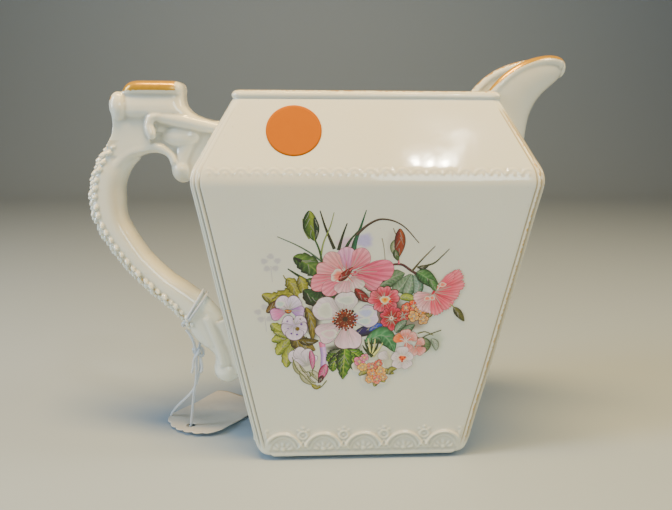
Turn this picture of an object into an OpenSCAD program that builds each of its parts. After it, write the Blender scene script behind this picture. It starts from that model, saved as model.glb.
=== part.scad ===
// Porcelain cream jug: a rectangular body that tapers to a narrow foot, with
// reeded corners, a sloped shoulder, a low collar, a beak spout, an S-shaped
// handle under a gilded thumb block, and a paper swing tag on a string.
// Millimetres. X runs from the handle to the spout, Z is up, the front is -Y.

/* [Body] */
// half width of the body at its foot
foot_x = 40.6; // [30:0.1:55]
// half depth of the body at its foot
foot_y = 19.2; // [12:0.1:30]
// half width where the tapered panel and the shoulder slope would meet
break_x = 61.3; // [45:0.1:75]
// half depth where the tapered panel and the shoulder slope would meet
break_y = 29.5; // [20:0.1:45]
// height of that meeting line
break_z = 110; // [80:1:130]
// radius that softens the shoulder break
break_r = 12; // [4:1:20]
// half width at the top of the shoulder slope
neck_x = 46.9; // [35:0.1:58]
// half depth at the top of the shoulder slope
neck_y = 15.9; // [10:0.1:28]
// height of the top of the shoulder slope
neck_z = 135.6; // [110:0.1:150]
// half width of the upright collar
collar_x = 47; // [34:0.1:57]
// half depth of the upright collar
collar_y = 16; // [9:0.1:27]
// height of the collar's top edge
rim_z = 138.5; // [115:0.1:160]
// thickness of the walls
wall = 3.6; // [2.5:0.1:6]
// height of the floor inside the body
floor_z = 5; // [4:0.5:12]
// how far the bevel cuts back each upright corner
corner_cut = 3.8; // [2:0.1:8]

/* [Foot] */
// height of the unglazed foot ring
foot_h = 1.2; // [0.6:0.1:4]
// width of the foot ring
foot_w = 2.6; // [1.5:0.1:5]

/* [Spout] */
// how far the tip stands out from the body's centre
spout_reach = 75.5; // [60:0.5:95]
// half width across the wings of the spout
spout_half = 14; // [8:0.5:20]
// thickness of the spout's wall
spout_wall = 3; // [2:0.1:5]

/* [Handle] */
// how far the grip stands out from the body's centre
handle_reach = 102; // [85:0.5:125]
// radius of the round grip
grip_r = 5.8; // [4:0.1:9]
// half depth of the bracket, the terminal and the volute
bracket_half = 6.5; // [4:0.5:10]
// half depth of the thumb block
block_half = 8; // [5:0.5:12]

/* [Decoration] */
// thickness of the gilding, the transfers and the price sticker
skin = 0.12; // [0.05:0.01:0.4]
// diameter of the price sticker
sticker_d = 19; // [8:1:30]

/* [Swing tag] */
// diameter of the cotton string
string_d = 1.1; // [0.6:0.1:3]
// length of the paper tag
tag_l = 42; // [25:1:80]
// width of the paper tag
tag_w = 28.5; // [12:0.5:50]
// thickness of the paper tag
tag_t = 0.4; // [0.2:0.1:1.5]

/* [Hidden] */
$fn = 48;
// The origin is under the middle of the whole length, so the body stands off it.
body_shift = (handle_reach - spout_reach) / 2;
// tilt of the front panel from upright, and of the shoulder slope above it
panel_tilt = atan((break_y - foot_y) / (break_z - foot_h));
slope_tilt = atan((break_y - neck_y) / (neck_z - break_z));
diagonal = sqrt(2);
// centre, radius, start and end angle of the grip's three arcs, in the XZ plane
grip_top = [[24 + grip_r - handle_reach, 100], 24, 128, 210];
grip_mid = [grip_top[0] - 73 * [cos(210), sin(210)], 97, 210, 228];
grip_low = [grip_mid[0] + 157 * [cos(228), sin(228)], 60, 18, 48];
// where the string is hitched round the grip, its lean, and the lump it hangs from
hitch = [-66.3, 0, 56.3];
hitch_lean = 57;
lump = [-69.6, 0, 48.8];
// the swing tag's hole and its turn on the table
tag_hole = [-70.7, 7.7];
tag_turn = 57;
// the two strands, from under the lump to the tag's hole and round its edge
string_a = [
    [-70, 0, 46.2], [-68.8, -0.6, 43], [-66.6, -1, 39.5], [-65.2, -1, 36], [-65.2, -0.8, 31],
    [-65.9, -0.2, 25], [-67, 1, 18], [-68.6, 3.6, 11], [-70, 6.4, 4.5], [-70.7, 7.6, 0.4]
];
string_b = [
    [-68.4, 0.3, 46.2], [-67, 0, 43], [-65, -0.4, 40], [-64, -0.6, 36], [-64, -0.3, 31],
    [-65, 0.4, 25], [-66.8, 1.4, 18.5], [-71.5, 5, 13.5], [-76.4, 10.4, 7.6],
    [-79.8, 15, 2.8], [-80.8, 16.8, 0.8]
];

// Points of the arc of radius r that rounds the corner at b between a and c.
function rounded(a, b, c, r, n = 6) =
    let (
        u = (a - b) / norm(a - b),
        v = (c - b) / norm(c - b),
        half = acos(u * v) / 2,
        o = b + (u + v) / norm(u + v) * r / sin(half),
        p = b + u * r / tan(half) - o,
        q = b + v * r / tan(half) - o
    )
    [for (k = [0:n]) let (w = p + (q - p) * k / n) o + w / norm(w) * r];

// Right half of the body's outline, from the foot up to the rim.
function outer_half(foot, wide, neck, collar) =
    let (
        f = [foot, foot_h],
        b = [wide, break_z],
        s = [neck, neck_z],
        e = [collar, rim_z]
    )
    concat(
        rounded([0, foot_h], f, b, 4),
        rounded(f, b, s, break_r),
        [s, [collar, neck_z + 0.4]],
        rounded([collar, neck_z], e, [0, rim_z], 2, 4)
    );

// Right half of the hollow's outline, from its floor up past the rim.
function inner_half(foot, wide, neck, collar) =
    let (
        f = [foot - wall + 0.7, floor_z],
        b = [wide - wall, break_z],
        s = [neck - wall, neck_z]
    )
    concat(
        rounded([0, floor_z], f, b, 6),
        rounded(f, b, s, break_r - wall),
        [s, [collar - wall, rim_z - 2], [collar - wall, rim_z + 20]]
    );

function both_halves(h) =
    concat(h, [for (k = [len(h) - 1:-1:0]) [-h[k][0], h[k][1]]]);

// An outline drawn in width and height, spread along a level direction.
module spread(outline, turn) {
    rotate([0, 0, turn])
        rotate([90, 0, 0])
            linear_extrude(height = 160, center = true)
                polygon(both_halves(outline));
}

// Right half of the outline across a corner, which bevels it.
function corner_half() = outer_half(
    (foot_x + foot_y - corner_cut) / diagonal,
    (break_x + break_y - corner_cut) / diagonal,
    (neck_x + neck_y - corner_cut + 1) / diagonal,
    (collar_x + collar_y - corner_cut + 1.5) / diagonal
);

module body_block() {
    intersection() {
        spread(outer_half(foot_x, break_x, neck_x, collar_x), 0);
        spread(outer_half(foot_y, break_y, neck_y, collar_y), 90);
        spread(corner_half(), 45);
        spread(corner_half(), 135);
    }
}

module body_hollow() {
    intersection() {
        spread(inner_half(foot_x, break_x, neck_x, collar_x), 0);
        spread(inner_half(foot_y, break_y, neck_y, collar_y), 90);
    }
}

// A rectangle with small bevelled corners, in plan.
module bevelled(x, y, cut) {
    polygon([
        [x, y - cut], [x - cut, y], [cut - x, y], [-x, y - cut],
        [-x, cut - y], [cut - x, -y], [x - cut, -y], [x, cut - y]
    ]);
}

// The spout seen from the front: its throat, its underside and its top edge.
function spout_side(inset) =
    let (tip = spout_reach - inset)
    concat(
        [[40, 113 + inset], [59.4 - inset, 113 + inset]],
        rounded([59.4 - inset, 113], [60.6 - inset, 139.5 + inset], [tip, 145.5 + inset], 12),
        inset > 0
            ? [[tip, 144.5 + inset], [tip, 165], [40, 165]]
            : concat([[tip - 2.6, 144.3]], spout_top(0), [[40, 138.5]])
    );

// The top edge of the spout, from the tip back to the rim.
function spout_top(lift) = [
    for (p = [[spout_reach, 149.6], [73, 151.6], [67, 151.8], [61.5, 150.9], [56.6, 149.5],
              [51.6, 147], [48.2, 144.1], [45.8, 141.3], [43.6, 138.5]]) p + [0, lift]
];

// The spout seen from its end: a deep U.
module spout_end(inset) {
    rotate([90, 0, 90])
        linear_extrude(height = 100)
            polygon(concat(
                [[spout_half - inset, 170]],
                [for (k = [0:16]) let (a = 180 * k / 16)
                    [(spout_half - inset) * cos(a), 141 - (28 - inset) * sin(a)]],
                [[inset - spout_half, 170]]
            ));
}

// The spout seen from above: a tongue that narrows to a round nose.
module spout_plan(inset) {
    polygon(concat(
        [[36, inset - spout_half], [57, inset - spout_half]],
        [for (k = [1:15]) let (a = -90 + 180 * k / 16)
            [57 + (spout_reach - inset - 57) * cos(a),
             sign(sin(a)) * (spout_half - inset) * pow(abs(sin(a)), 1.4)]],
        [[57, spout_half - inset], [36, spout_half - inset]]
    ));
}

module spout_form(inset) {
    intersection() {
        rotate([90, 0, 0])
            linear_extrude(height = 60, center = true)
                polygon(spout_side(inset));
        linear_extrude(height = 180)
            spout_plan(inset);
        spout_end(inset);
    }
}

module body_shell() {
    color("ivory") translate([body_shift, 0, 0]) {
        difference() {
            body_block();
            body_hollow();
            spout_form(spout_wall);
            linear_extrude(height = foot_h + 1)
                bevelled(foot_x - 5 - foot_w, foot_y - 5 - foot_w, 2);
        }
    }
}

module foot_ring() {
    color("linen") translate([body_shift, 0, 0]) {
        linear_extrude(height = foot_h) {
            difference() {
                bevelled(foot_x - 5, foot_y - 5, 3);
                bevelled(foot_x - 5 - foot_w, foot_y - 5 - foot_w, 2);
            }
        }
    }
}

module spout() {
    color("ivory") translate([body_shift, 0, 0]) {
        difference() {
            spout_form(0);
            spout_form(spout_wall);
            body_block();
            body_hollow();
        }
    }
}

// One arc of the grip, [centre, radius, start angle, end angle].
module grip_arc(a) {
    translate([a[0][0], 0, a[0][1]])
        rotate([90, 0, 0])
            rotate([0, 0, a[2]])
                rotate_extrude(angle = a[3] - a[2])
                    translate([a[1], 0])
                        circle(r = grip_r);
}

// An outline drawn in X and Z, as thick as twice half.
module slab(outline, half) {
    rotate([90, 0, 0])
        linear_extrude(height = 2 * half, center = true)
            polygon(outline);
}

// The arm that carries the thumb block across to the shoulder.
module bracket_form() {
    slab(concat(
        [[-91, 129.5], [-92.6, 120.6]],
        [for (k = [0:5]) let (a = 134 - k * 14)
            [-72.2, 100] + 18.5 * [cos(a), sin(a)]],
        [[-66.5, 113], [-45, 113], [-45, 129.5]]
    ), bracket_half);
}

module volute_form() {
    translate([-68.6, 0, 109.2])
        rotate([90, 0, 0])
            cylinder(r = 4.7, h = 2 * bracket_half, center = true);
}

// The block that the thumb rests on, with a hollowed lower edge.
module block_form() {
    slab(concat(
        [[-91.4, 129.5], [-91.4, 137.2]],
        rounded([-91.4, 137.2], [-86, 141.6], [-64.5, 141.6], 4),
        [[-64.5, 141.6], [-64.5, 134], [-61.5, 130.8], [-57, 129.5]]
    ), block_half);
}

// The foot of the handle, spread down the end of the body to a round knob.
module terminal_form() {
    slab(concat(
        [[-66.6, 51.5], [-61.2, 45.6], [-59, 40.6]],
        rounded([-58.6, 36], [-58.9, 23.8], [-44, 23.8], 4.6),
        [[-40, 23.8], [-40, 58], [-56.5, 58]]
    ), bracket_half);
}

module handle_bracket() {
    color("ivory") translate([body_shift, 0, 0]) {
        difference() {
            union() {
                bracket_form();
                volute_form();
            }
            body_block();
        }
    }
}

module handle_thumb_block() {
    color("ivory") translate([body_shift, 0, 0]) {
        block_form();
    }
}

module handle_grip() {
    color("ivory") translate([body_shift, 0, 0]) {
        difference() {
            union() {
                grip_arc(grip_top);
                grip_arc(grip_mid);
                grip_arc(grip_low);
            }
            bracket_form();
            block_form();
            terminal_form();
            body_block();
        }
    }
}

module handle_terminal() {
    color("ivory") translate([body_shift, 0, 0]) {
        difference() {
            terminal_form();
            body_block();
        }
    }
}

module gilt_rim() {
    color("goldenrod") translate([body_shift, 0, rim_z]) {
        linear_extrude(height = skin) {
            difference() {
                bevelled(collar_x - 2, collar_y - 2, 1.6);
                square([2 * (collar_x - wall), 2 * (collar_y - wall)], center = true);
                translate([40, -spout_half])
                    square([20, 2 * spout_half]);
            }
        }
    }
}

module gilt_spout_lip() {
    color("goldenrod") translate([body_shift, 0, 0]) {
        intersection() {
            slab(concat(spout_top(0), [for (k = [8:-1:0]) spout_top(skin)[k]]), 30);
            linear_extrude(height = 180) {
                difference() {
                    spout_plan(0);
                    spout_plan(spout_wall);
                }
            }
        }
    }
}

module gilt_thumb_block() {
    color("goldenrod") translate([body_shift, 0, 0]) {
        translate([-84.6, -block_half, 141.6])
            cube([20.1, 2 * block_half, skin]);
    }
}

// The outline of a spray of flowers, laid flat.
module spray() {
    translate([-8, 12]) circle(r = 19);
    translate([14, 4]) circle(r = 17);
    translate([-20, -4]) circle(r = 15);
    translate([2, -16]) circle(r = 14);
    translate([6, 22]) circle(r = 12);
    translate([24, 8]) circle(r = 11);
}

module front_transfer() {
    color("palevioletred") translate([body_shift, 0, 0]) {
        translate([0, -foot_y, foot_h])
            rotate([90 + panel_tilt, 0, 0])
                translate([-1, 64])
                    linear_extrude(height = skin)
                        spray();
    }
}

module back_transfer() {
    color("palevioletred") translate([body_shift, 0, 0]) {
        rotate([0, 0, 180])
            translate([0, -foot_y, foot_h])
                rotate([90 + panel_tilt, 0, 0])
                    translate([-1, 60])
                        linear_extrude(height = skin)
                            scale(0.6)
                                spray();
    }
}

module price_sticker() {
    color("darkorange") translate([body_shift, 0, 0]) {
        translate([-25.7, -neck_y, neck_z])
            rotate([90 - slope_tilt, 0, 0])
                translate([0, -sticker_d / 2 - 2.6])
                    linear_extrude(height = skin)
                        circle(d = sticker_d);
    }
}

// A round string swept through points, as one closed solid.
module swept(points, d, sides = 8) {
    n = len(points);
    rings = [
        for (i = [0:n - 1])
            let (
                a = points[max(i - 1, 0)],
                b = points[min(i + 1, n - 1)],
                t = (b - a) / norm(b - a),
                s = cross(t, [0, 1, 0]) / norm(cross(t, [0, 1, 0])),
                u = cross(s, t)
            )
            for (k = [0:sides - 1])
                points[i] + d / 2 * (cos(360 * k / sides) * s + sin(360 * k / sides) * u)
    ];
    walls = [
        for (i = [0:n - 2])
            for (k = [0:sides - 1])
                let (
                    m = (k + 1) % sides,
                    p = i * sides
                )
                each [[p + k, p + m, p + sides + k], [p + m, p + sides + m, p + sides + k]]
    ];
    polyhedron(rings, concat(
        walls,
        [[for (k = [sides - 1:-1:0]) k]],
        [[for (k = [0:sides - 1]) (n - 1) * sides + k]]
    ), convexity = 8);
}

module string_hitch() {
    color("white") translate([body_shift, 0, 0]) {
        for (side = [-0.6, 0.6])
            translate(hitch)
                rotate([0, 180 - hitch_lean, 0])
                    translate([0, 0, side * string_d])
                        rotate_extrude()
                            translate([grip_r + string_d * 0.45, 0])
                                circle(d = string_d, $fn = 16);
        translate(lump)
            sphere(r = 1.8, $fn = 24);
    }
}

module tag_string() {
    color("white") translate([body_shift, 0, 0]) {
        swept(string_a, string_d);
        swept(string_b, string_d);
    }
}

module string_knot() {
    color("white") translate([body_shift, 0, 0]) {
        translate([-64.8, -0.7, 37])
            sphere(r = 2, $fn = 24);
    }
}

// The paper tag lies flat, with a punched hole and a bowed, scalloped end.
module swing_tag() {
    color("beige") translate([body_shift + tag_hole[0], tag_hole[1], 0]) {
        rotate([0, 0, tag_turn]) {
            linear_extrude(height = tag_t) {
                difference() {
                    intersection() {
                        translate([-6, -tag_w / 2])
                            square([tag_l, tag_w]);
                        union() {
                            translate([10.5, 0])
                                circle(r = 16.5);
                            translate([5, -tag_w])
                                square([tag_l, 2 * tag_w]);
                        }
                    }
                    circle(d = 3.6, $fn = 24);
                    for (a = [-54, -27, 0, 27, 54])
                        translate([10.5, 0] - 17.6 * [cos(a + 13), sin(a + 13)])
                            circle(r = 1.5, $fn = 24);
                }
            }
        }
    }
}

body_shell();
foot_ring();
spout();
handle_bracket();
handle_thumb_block();
handle_grip();
handle_terminal();
gilt_rim();
gilt_spout_lip();
gilt_thumb_block();
front_transfer();
back_transfer();
price_sticker();
string_hitch();
tag_string();
string_knot();
swing_tag();
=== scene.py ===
"""The looks of the porcelain cream jug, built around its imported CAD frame.

Shapes are drawn in millimetres from the middle of the body (x from handle to spout, y to the back, z up).
"""

import math

import bpy
import numpy as np
from mathutils import Matrix, Vector
from mathutils.bvhtree import BVHTree

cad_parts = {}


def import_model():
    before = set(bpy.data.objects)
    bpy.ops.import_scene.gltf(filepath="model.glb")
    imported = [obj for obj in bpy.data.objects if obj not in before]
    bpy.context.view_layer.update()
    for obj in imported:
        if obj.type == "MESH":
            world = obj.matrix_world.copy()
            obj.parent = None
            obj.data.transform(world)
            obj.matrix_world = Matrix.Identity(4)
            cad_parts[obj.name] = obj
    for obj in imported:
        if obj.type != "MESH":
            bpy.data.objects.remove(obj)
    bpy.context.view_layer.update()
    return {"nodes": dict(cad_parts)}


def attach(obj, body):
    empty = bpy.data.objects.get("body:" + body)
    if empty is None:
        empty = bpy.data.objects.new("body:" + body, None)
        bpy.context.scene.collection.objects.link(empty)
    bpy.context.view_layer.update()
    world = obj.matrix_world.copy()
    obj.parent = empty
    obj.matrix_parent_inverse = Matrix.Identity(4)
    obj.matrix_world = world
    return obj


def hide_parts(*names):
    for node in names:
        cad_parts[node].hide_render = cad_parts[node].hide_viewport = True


MM = 0.001
BODY_X = 13.25  # the middle of the body stands this far from the origin

# The body's outline: heights, then (half width, half depth) at the height of the same name.
FOOT_Z, FLOOR_Z, BREAK_Z, NECK_Z, RIM_Z = 1.2, 5.0, 110.0, 135.6, 138.5
FOOT, BREAK, NECK, COLLAR = (40.6, 19.2), (61.3, 29.5), (46.9, 15.9), (47.0, 16.0)
FOOT_ROUNDING = (5.2, 2.8)
BREAK_ROUNDING = 12.0
WALL = 3.6

# Columns round the body: on a front or back panel, on an end panel, on a bevelled corner.
FRONT_COLUMNS, END_COLUMNS, CORNER_COLUMNS = 250, 110, 36


# ---------------------------------------------------------------- small tools


def place(points):
    """Points of the body's millimetres as the frame's metres."""
    return (np.asarray(points, float) + [BODY_X, 0, 0]) * MM


def to_linear(rgb):
    """Screen colours, 0 to 255, as the renderer's linear ones, with alpha 1."""
    c = np.clip(np.asarray(rgb, float) / 255, 0, 1)
    c = np.where(c > 0.04, ((c + 0.055) / 1.055) ** 2.4, c / 12.92)
    return np.concatenate([c, np.ones(c.shape[:-1] + (1,))], -1)


def linear(r, g, b):
    """One screen colour as a list for a socket."""
    return to_linear((r, g, b)).tolist()


def tone(mesh, **values):
    """Gives a mesh's points the values that its material reads by name."""
    for name, value in values.items():
        layer = mesh.attributes.new(name, "FLOAT", "POINT")
        layer.data.foreach_set("value", np.asarray(value, np.float32))


def make(name, points, faces, material, smooth=True, colors=None, **values):
    """A mesh object from points in the body's millimetres. values are numbers for each point."""
    mesh = bpy.data.meshes.new(name)
    mesh.from_pydata(place(points).tolist(), [], [list(f) for f in faces])
    mesh.polygons.foreach_set("use_smooth", [smooth] * len(mesh.polygons))
    if colors is not None:
        layer = mesh.color_attributes.new("tint", "FLOAT_COLOR", "POINT")
        layer.data.foreach_set("color", np.asarray(colors, np.float32).ravel())
    tone(mesh, **values)
    mesh.materials.append(material)
    mesh.update()
    obj = bpy.data.objects.new(name, mesh)
    bpy.context.scene.collection.objects.link(obj)
    return obj


def join(first, *others):
    """Makes the other objects part of the first."""
    bpy.ops.object.select_all(action="DESELECT")
    for obj in (first, *others):
        obj.select_set(True)
    bpy.context.view_layer.objects.active = first
    bpy.ops.object.join()
    return first


def grid_faces(rows, columns, wrap):
    """Quads of a grid whose points run row by row."""
    i, j = np.meshgrid(np.arange(rows - 1), np.arange(columns if wrap else columns - 1), indexing="ij")
    k = (j + 1) % columns
    quads = np.stack([i * columns + j, i * columns + k, (i + 1) * columns + k, (i + 1) * columns + j], -1)
    return quads.reshape(-1, 4).tolist()


def closed_faces(rows, columns):
    """Faces of a tube of rings, with its two ends."""
    ends = [list(range(columns))[::-1], list(range(columns * (rows - 1), columns * rows))]
    return grid_faces(rows, columns, True) + ends


def through(points, steps=8):
    """A smooth line through the points, with steps pieces between each two."""
    p = np.asarray(points, float)
    p = np.vstack([2 * p[0] - p[1], p, 2 * p[-1] - p[-2]])
    t = np.linspace(0, 1, steps, endpoint=False)[:, None]
    out = []
    for a, b, c, d in zip(p, p[1:], p[2:], p[3:]):
        square, cube = 2 * a - 5 * b + 4 * c - d, 3 * b - a - 3 * c + d
        out.append(0.5 * (2 * b + (c - a) * t + square * t**2 + cube * t**3))
    return np.vstack(out + [p[-2][None]])


def lengths(line):
    """How far along a line each of its points lies."""
    return np.concatenate([[0], np.cumsum(np.linalg.norm(np.diff(line, axis=0), axis=1))])


def ridge(distance, width):
    """A rounded ridge, 1 along its crest."""
    return np.exp(-((distance / width) ** 2))


def ramp(x, low, high):
    """Rises smoothly from 0 at low to 1 at high."""
    t = np.clip((x - low) / (high - low), 0, 1)
    return t * t * (3 - 2 * t)


def squircle(count, power):
    """Points of a circle pressed towards a square."""
    a = np.linspace(0, 2 * math.pi, count, endpoint=False)
    c, s = np.cos(a), np.sin(a)
    r = (np.abs(c) ** power + np.abs(s) ** power) ** (-1 / power)
    return c * r, s * r


def tube(line, radius, sides=12, turn=0.0, lobes=0):
    """Points and faces of a tube along a line. Radius is one value or one per point.
    With lobes its section is a twisted rope's, turning by turn radians per point."""
    line = np.asarray(line, float)
    n = len(line)
    along = np.gradient(line, axis=0)
    along /= np.linalg.norm(along, axis=1)[:, None]
    side = np.zeros_like(line)
    first = np.cross(along[0], [0, 1, 0.01])
    side[0] = first / np.linalg.norm(first)
    for i in range(1, n):
        s = side[i - 1] - along[i] * (side[i - 1] @ along[i])
        side[i] = s / np.linalg.norm(s)
    up = np.cross(along, side)
    radius = np.broadcast_to(np.asarray(radius, float), (n,))
    a = np.linspace(0, 2 * math.pi, sides, endpoint=False)[None, :]
    r = radius[:, None] * np.ones_like(a)
    if lobes:
        r = r * (0.9 + 0.14 * np.abs(np.sin((a + turn * np.arange(n)[:, None]) * lobes / 2)))
    p = line[:, None] + (r * np.cos(a))[..., None] * side[:, None] + (r * np.sin(a))[..., None] * up[:, None]
    return p.reshape(-1, 3), closed_faces(n, sides)


def slab(outline, low, high):
    """A prism of an outline drawn in x and z, from y = low to y = high."""
    n = len(outline)
    p = [(x, low, z) for x, z in outline] + [(x, high, z) for x, z in outline]
    faces = [[i, (i + 1) % n, (i + 1) % n + n, i + n] for i in range(n)]
    return np.array(p), faces + [list(range(n))[::-1], list(range(n, 2 * n))]


def ball(middle, radii, rings=10, sides=14, turn=None):
    """An ellipsoid. turn is a rotation matrix."""
    down = np.linspace(0, math.pi, rings + 1)[1:-1]
    turned = np.linspace(0, 2 * math.pi, sides, endpoint=False)
    a, b = np.meshgrid(down, turned, indexing="ij")
    p = np.stack([np.sin(a) * np.cos(b), np.sin(a) * np.sin(b), np.cos(a)], -1).reshape(-1, 3)
    p = np.vstack([p, [[0, 0, 1], [0, 0, -1]]]) * np.asarray(radii, float)
    if turn is not None:
        p = p @ np.asarray(turn, float).T
    n = len(p)
    faces = grid_faces(rings - 1, sides, True)
    faces += [[n - 2, j, (j + 1) % sides] for j in range(sides)]
    faces += [[n - 1, (rings - 2) * sides + (j + 1) % sides, (rings - 2) * sides + j] for j in range(sides)]
    return p + middle, faces


def gather(parts):
    """Several (points, faces) as one."""
    points, faces, n = [], [], 0
    for p, f in parts:
        points.append(np.asarray(p, float))
        faces += [[i + n for i in face] for face in f]
        n += len(p)
    return np.vstack(points), faces


def melt(obj, voxel, smoothing):
    """Joins an object's overlapping solids into one skin and rounds its edges, as a glaze does."""
    remesh = obj.modifiers.new("join", "REMESH")
    remesh.mode, remesh.voxel_size, remesh.use_smooth_shade = "VOXEL", voxel * MM, True
    soften = obj.modifiers.new("soften", "SMOOTH")
    soften.factor, soften.iterations = 0.5, smoothing
    evaluated = obj.evaluated_get(bpy.context.evaluated_depsgraph_get())
    mesh = bpy.data.meshes.new_from_object(evaluated)
    obj.modifiers.clear()
    old = obj.data
    obj.data = mesh
    bpy.data.meshes.remove(old)
    mesh.polygons.foreach_set("use_smooth", [True] * len(mesh.polygons))
    return obj


def points_of(obj):
    """An object's points in the body's millimetres, and their normals."""
    n = len(obj.data.vertices)
    p, q = np.zeros(n * 3, np.float32), np.zeros(n * 3, np.float32)
    obj.data.vertices.foreach_get("co", p)
    obj.data.vertices.foreach_get("normal", q)
    return p.reshape(-1, 3).astype(float) / MM - [BODY_X, 0, 0], q.reshape(-1, 3).astype(float)


def hollows(obj, passes=30, depth=0.14):
    """How far each point lies in a hollow of the relief, from 0 to 1. The colour there is
    darkened as painted shade."""
    p, q = points_of(obj)
    n = len(p)
    ends = np.zeros(len(obj.data.edges) * 2, np.int32)
    obj.data.edges.foreach_get("vertices", ends)
    a, b = ends.reshape(-1, 2).T
    count = (np.bincount(a, minlength=n) + np.bincount(b, minlength=n))[:, None]
    soft = p.copy()
    for _ in range(passes):
        total = np.stack([np.bincount(a, soft[b, k], n) + np.bincount(b, soft[a, k], n) for k in range(3)], 1)
        soft = (soft + total / np.maximum(count, 1)) / 2
    return np.clip(((soft - p) * q).sum(1) / depth, 0, 1)


def shell(obj, name, strength, material, lift=0.03):
    """A thin skin over the part of obj where strength is above 0, such as gilding."""
    p, q = points_of(obj)
    faces = [list(f.vertices) for f in obj.data.polygons]
    faces = [f for f in faces if min(strength[i] for i in f) > 0]
    used = sorted({i for f in faces for i in f})
    index = {v: i for i, v in enumerate(used)}
    return make(
        name,
        (p + q * lift)[used],
        [[index[i] for i in f] for f in faces],
        material,
        gilt=strength[used],
    )


# ------------------------------------------------------------------ materials


class Shader:
    """A material under construction: nodes are added and joined by name."""

    def __init__(self, name):
        self.material = bpy.data.materials.new(name)
        self.material.use_nodes = True
        self.tree = self.material.node_tree
        self.main = self.tree.nodes["Principled BSDF"]

    def add(self, kind, **sockets):
        node = self.tree.nodes.new(kind)
        for key, value in sockets.items():
            self.feed(node, key, value)
        return node

    def feed(self, node, key, value):
        socket = node.inputs[key.replace("_", " ") if isinstance(key, str) else key]
        if isinstance(value, bpy.types.NodeSocket):
            self.tree.links.new(value, socket)
        else:
            socket.default_value = value

    def noise(self, scale, detail=3.0, roughness=0.55):
        place = self.add("ShaderNodeTexCoord")
        node = self.add(
            "ShaderNodeTexNoise", Vector=place.outputs["Object"], Scale=scale, Detail=detail,
            Roughness=roughness,
        )
        return node.outputs["Fac"]

    def sum(self, kind, a, b, clamp=False):
        node = self.tree.nodes.new("ShaderNodeMath")
        node.operation, node.use_clamp = kind, clamp
        self.feed(node, 0, a)
        self.feed(node, 1, b)
        return node.outputs[0]

    def between(self, factor, a, b):
        """Colour a where factor is 0 and b where it is 1."""
        node = self.tree.nodes.new("ShaderNodeMix")
        node.data_type = "RGBA"
        for i, value in ((0, factor), (6, a), (7, b)):
            self.feed(node, i, value)
        return node.outputs[2]

    def value(self, name):
        node = self.tree.nodes.new("ShaderNodeAttribute")
        node.attribute_name = name
        return node

    def bump(self, height, strength, distance):
        node = self.add("ShaderNodeBump", Height=height, Strength=strength, Distance=distance)
        self.feed(self.main, "Normal", node.outputs[0])


CREAM, IVORY = linear(232, 237, 229), linear(230, 227, 210)
GOLD, OLD_GOLD = linear(236, 178, 50), linear(186, 148, 54)
# Speckles in the glaze; the last two colours are painted shade and painted reflection for grooves and
# hollows.
SPECK, PAINTED_GREY, PAINTED_OLIVE = linear(120, 96, 70), linear(92, 92, 92), linear(158, 136, 78)


def glaze_material(name, tint=False):
    """Glossy cream porcelain. Worn gold shows where a mesh's gilt value is above the noise, and
    line paints shade and reflections into the grooves and hollows: grey where it is positive and olive where
    it is negative."""
    s = Shader(name)
    soft = s.noise(28.0, 2.0)
    color = s.between(soft, CREAM, IVORY)
    speck = s.sum("GREATER_THAN", s.noise(1500.0, 1.0), 0.79)
    color = s.between(s.sum("MULTIPLY", speck, 0.35), color, SPECK)
    # Painted shade and reflections: grey for positive line values, olive for negative ones.
    line = s.value("line").outputs["Fac"]
    color = s.between(s.sum("MAXIMUM", line, 0.0), color, PAINTED_GREY)
    color = s.between(s.sum("MAXIMUM", s.sum("MULTIPLY", line, -1.0), 0.0), color, PAINTED_OLIVE)
    if tint:
        print_color = s.value("tint")
        color = s.between(print_color.outputs["Alpha"], color, print_color.outputs["Color"])
    gilt = s.value("gilt").outputs["Fac"]
    patchy = s.sum("MULTIPLY", s.sum("SUBTRACT", gilt, s.noise(900.0, 4.0, 0.7)), 9.0, clamp=True)
    gold = s.between(s.noise(500.0, 3.0), GOLD, OLD_GOLD)
    s.feed(s.main, "Base Color", s.between(patchy, color, gold))
    s.feed(s.main, "Metallic", s.sum("MULTIPLY", patchy, 0.4))
    rough = s.sum("MULTIPLY_ADD", patchy, 0.2)
    rough.node.inputs[2].default_value = 0.09
    s.feed(s.main, "Roughness", rough)
    s.feed(s.main, "IOR", 1.52)
    s.feed(s.main, "Coat Weight", 0.35)
    s.feed(s.main, "Coat Roughness", 0.04)
    if not tint:
        s.feed(s.main, "Subsurface Weight", 0.1)
        s.feed(s.main, "Subsurface Radius", (0.9, 0.7, 0.5))
        s.feed(s.main, "Subsurface Scale", 0.0015)
    s.bump(s.noise(160.0, 2.0), 0.07, 0.0004)
    return s.material


def matt_material(name, color, other, scale, roughness, bump, weave=0.0):
    s = Shader(name)
    s.feed(s.main, "Base Color", s.between(s.noise(scale, 4.0, 0.65), color, other))
    s.feed(s.main, "Roughness", roughness)
    s.feed(s.main, "Specular IOR Level", 0.1)
    s.feed(s.main, "Sheen Weight", weave)
    s.bump(s.noise(scale * 3, 4.0, 0.7), bump, 0.0002)
    return s.material


GLAZE = glaze_material("glaze")
GILDING = glaze_material("gilding")
PRINT = glaze_material("transfer", tint=True)
BISCUIT = matt_material("biscuit", linear(205, 188, 160), linear(160, 138, 108), 400.0, 0.85, 0.5)
DOT_PAPER = matt_material("sticker", linear(180, 100, 0), linear(174, 95, 0), 300.0, 0.85, 0.12)
TAG_PAPER = matt_material("tag", linear(224, 218, 206), linear(204, 196, 182), 120.0, 0.75, 0.35)
COTTON = matt_material("string", linear(226, 224, 226), linear(186, 200, 214), 260.0, 0.9, 0.6, 0.4)


# ------------------------------------------------------------------- the body


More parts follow.
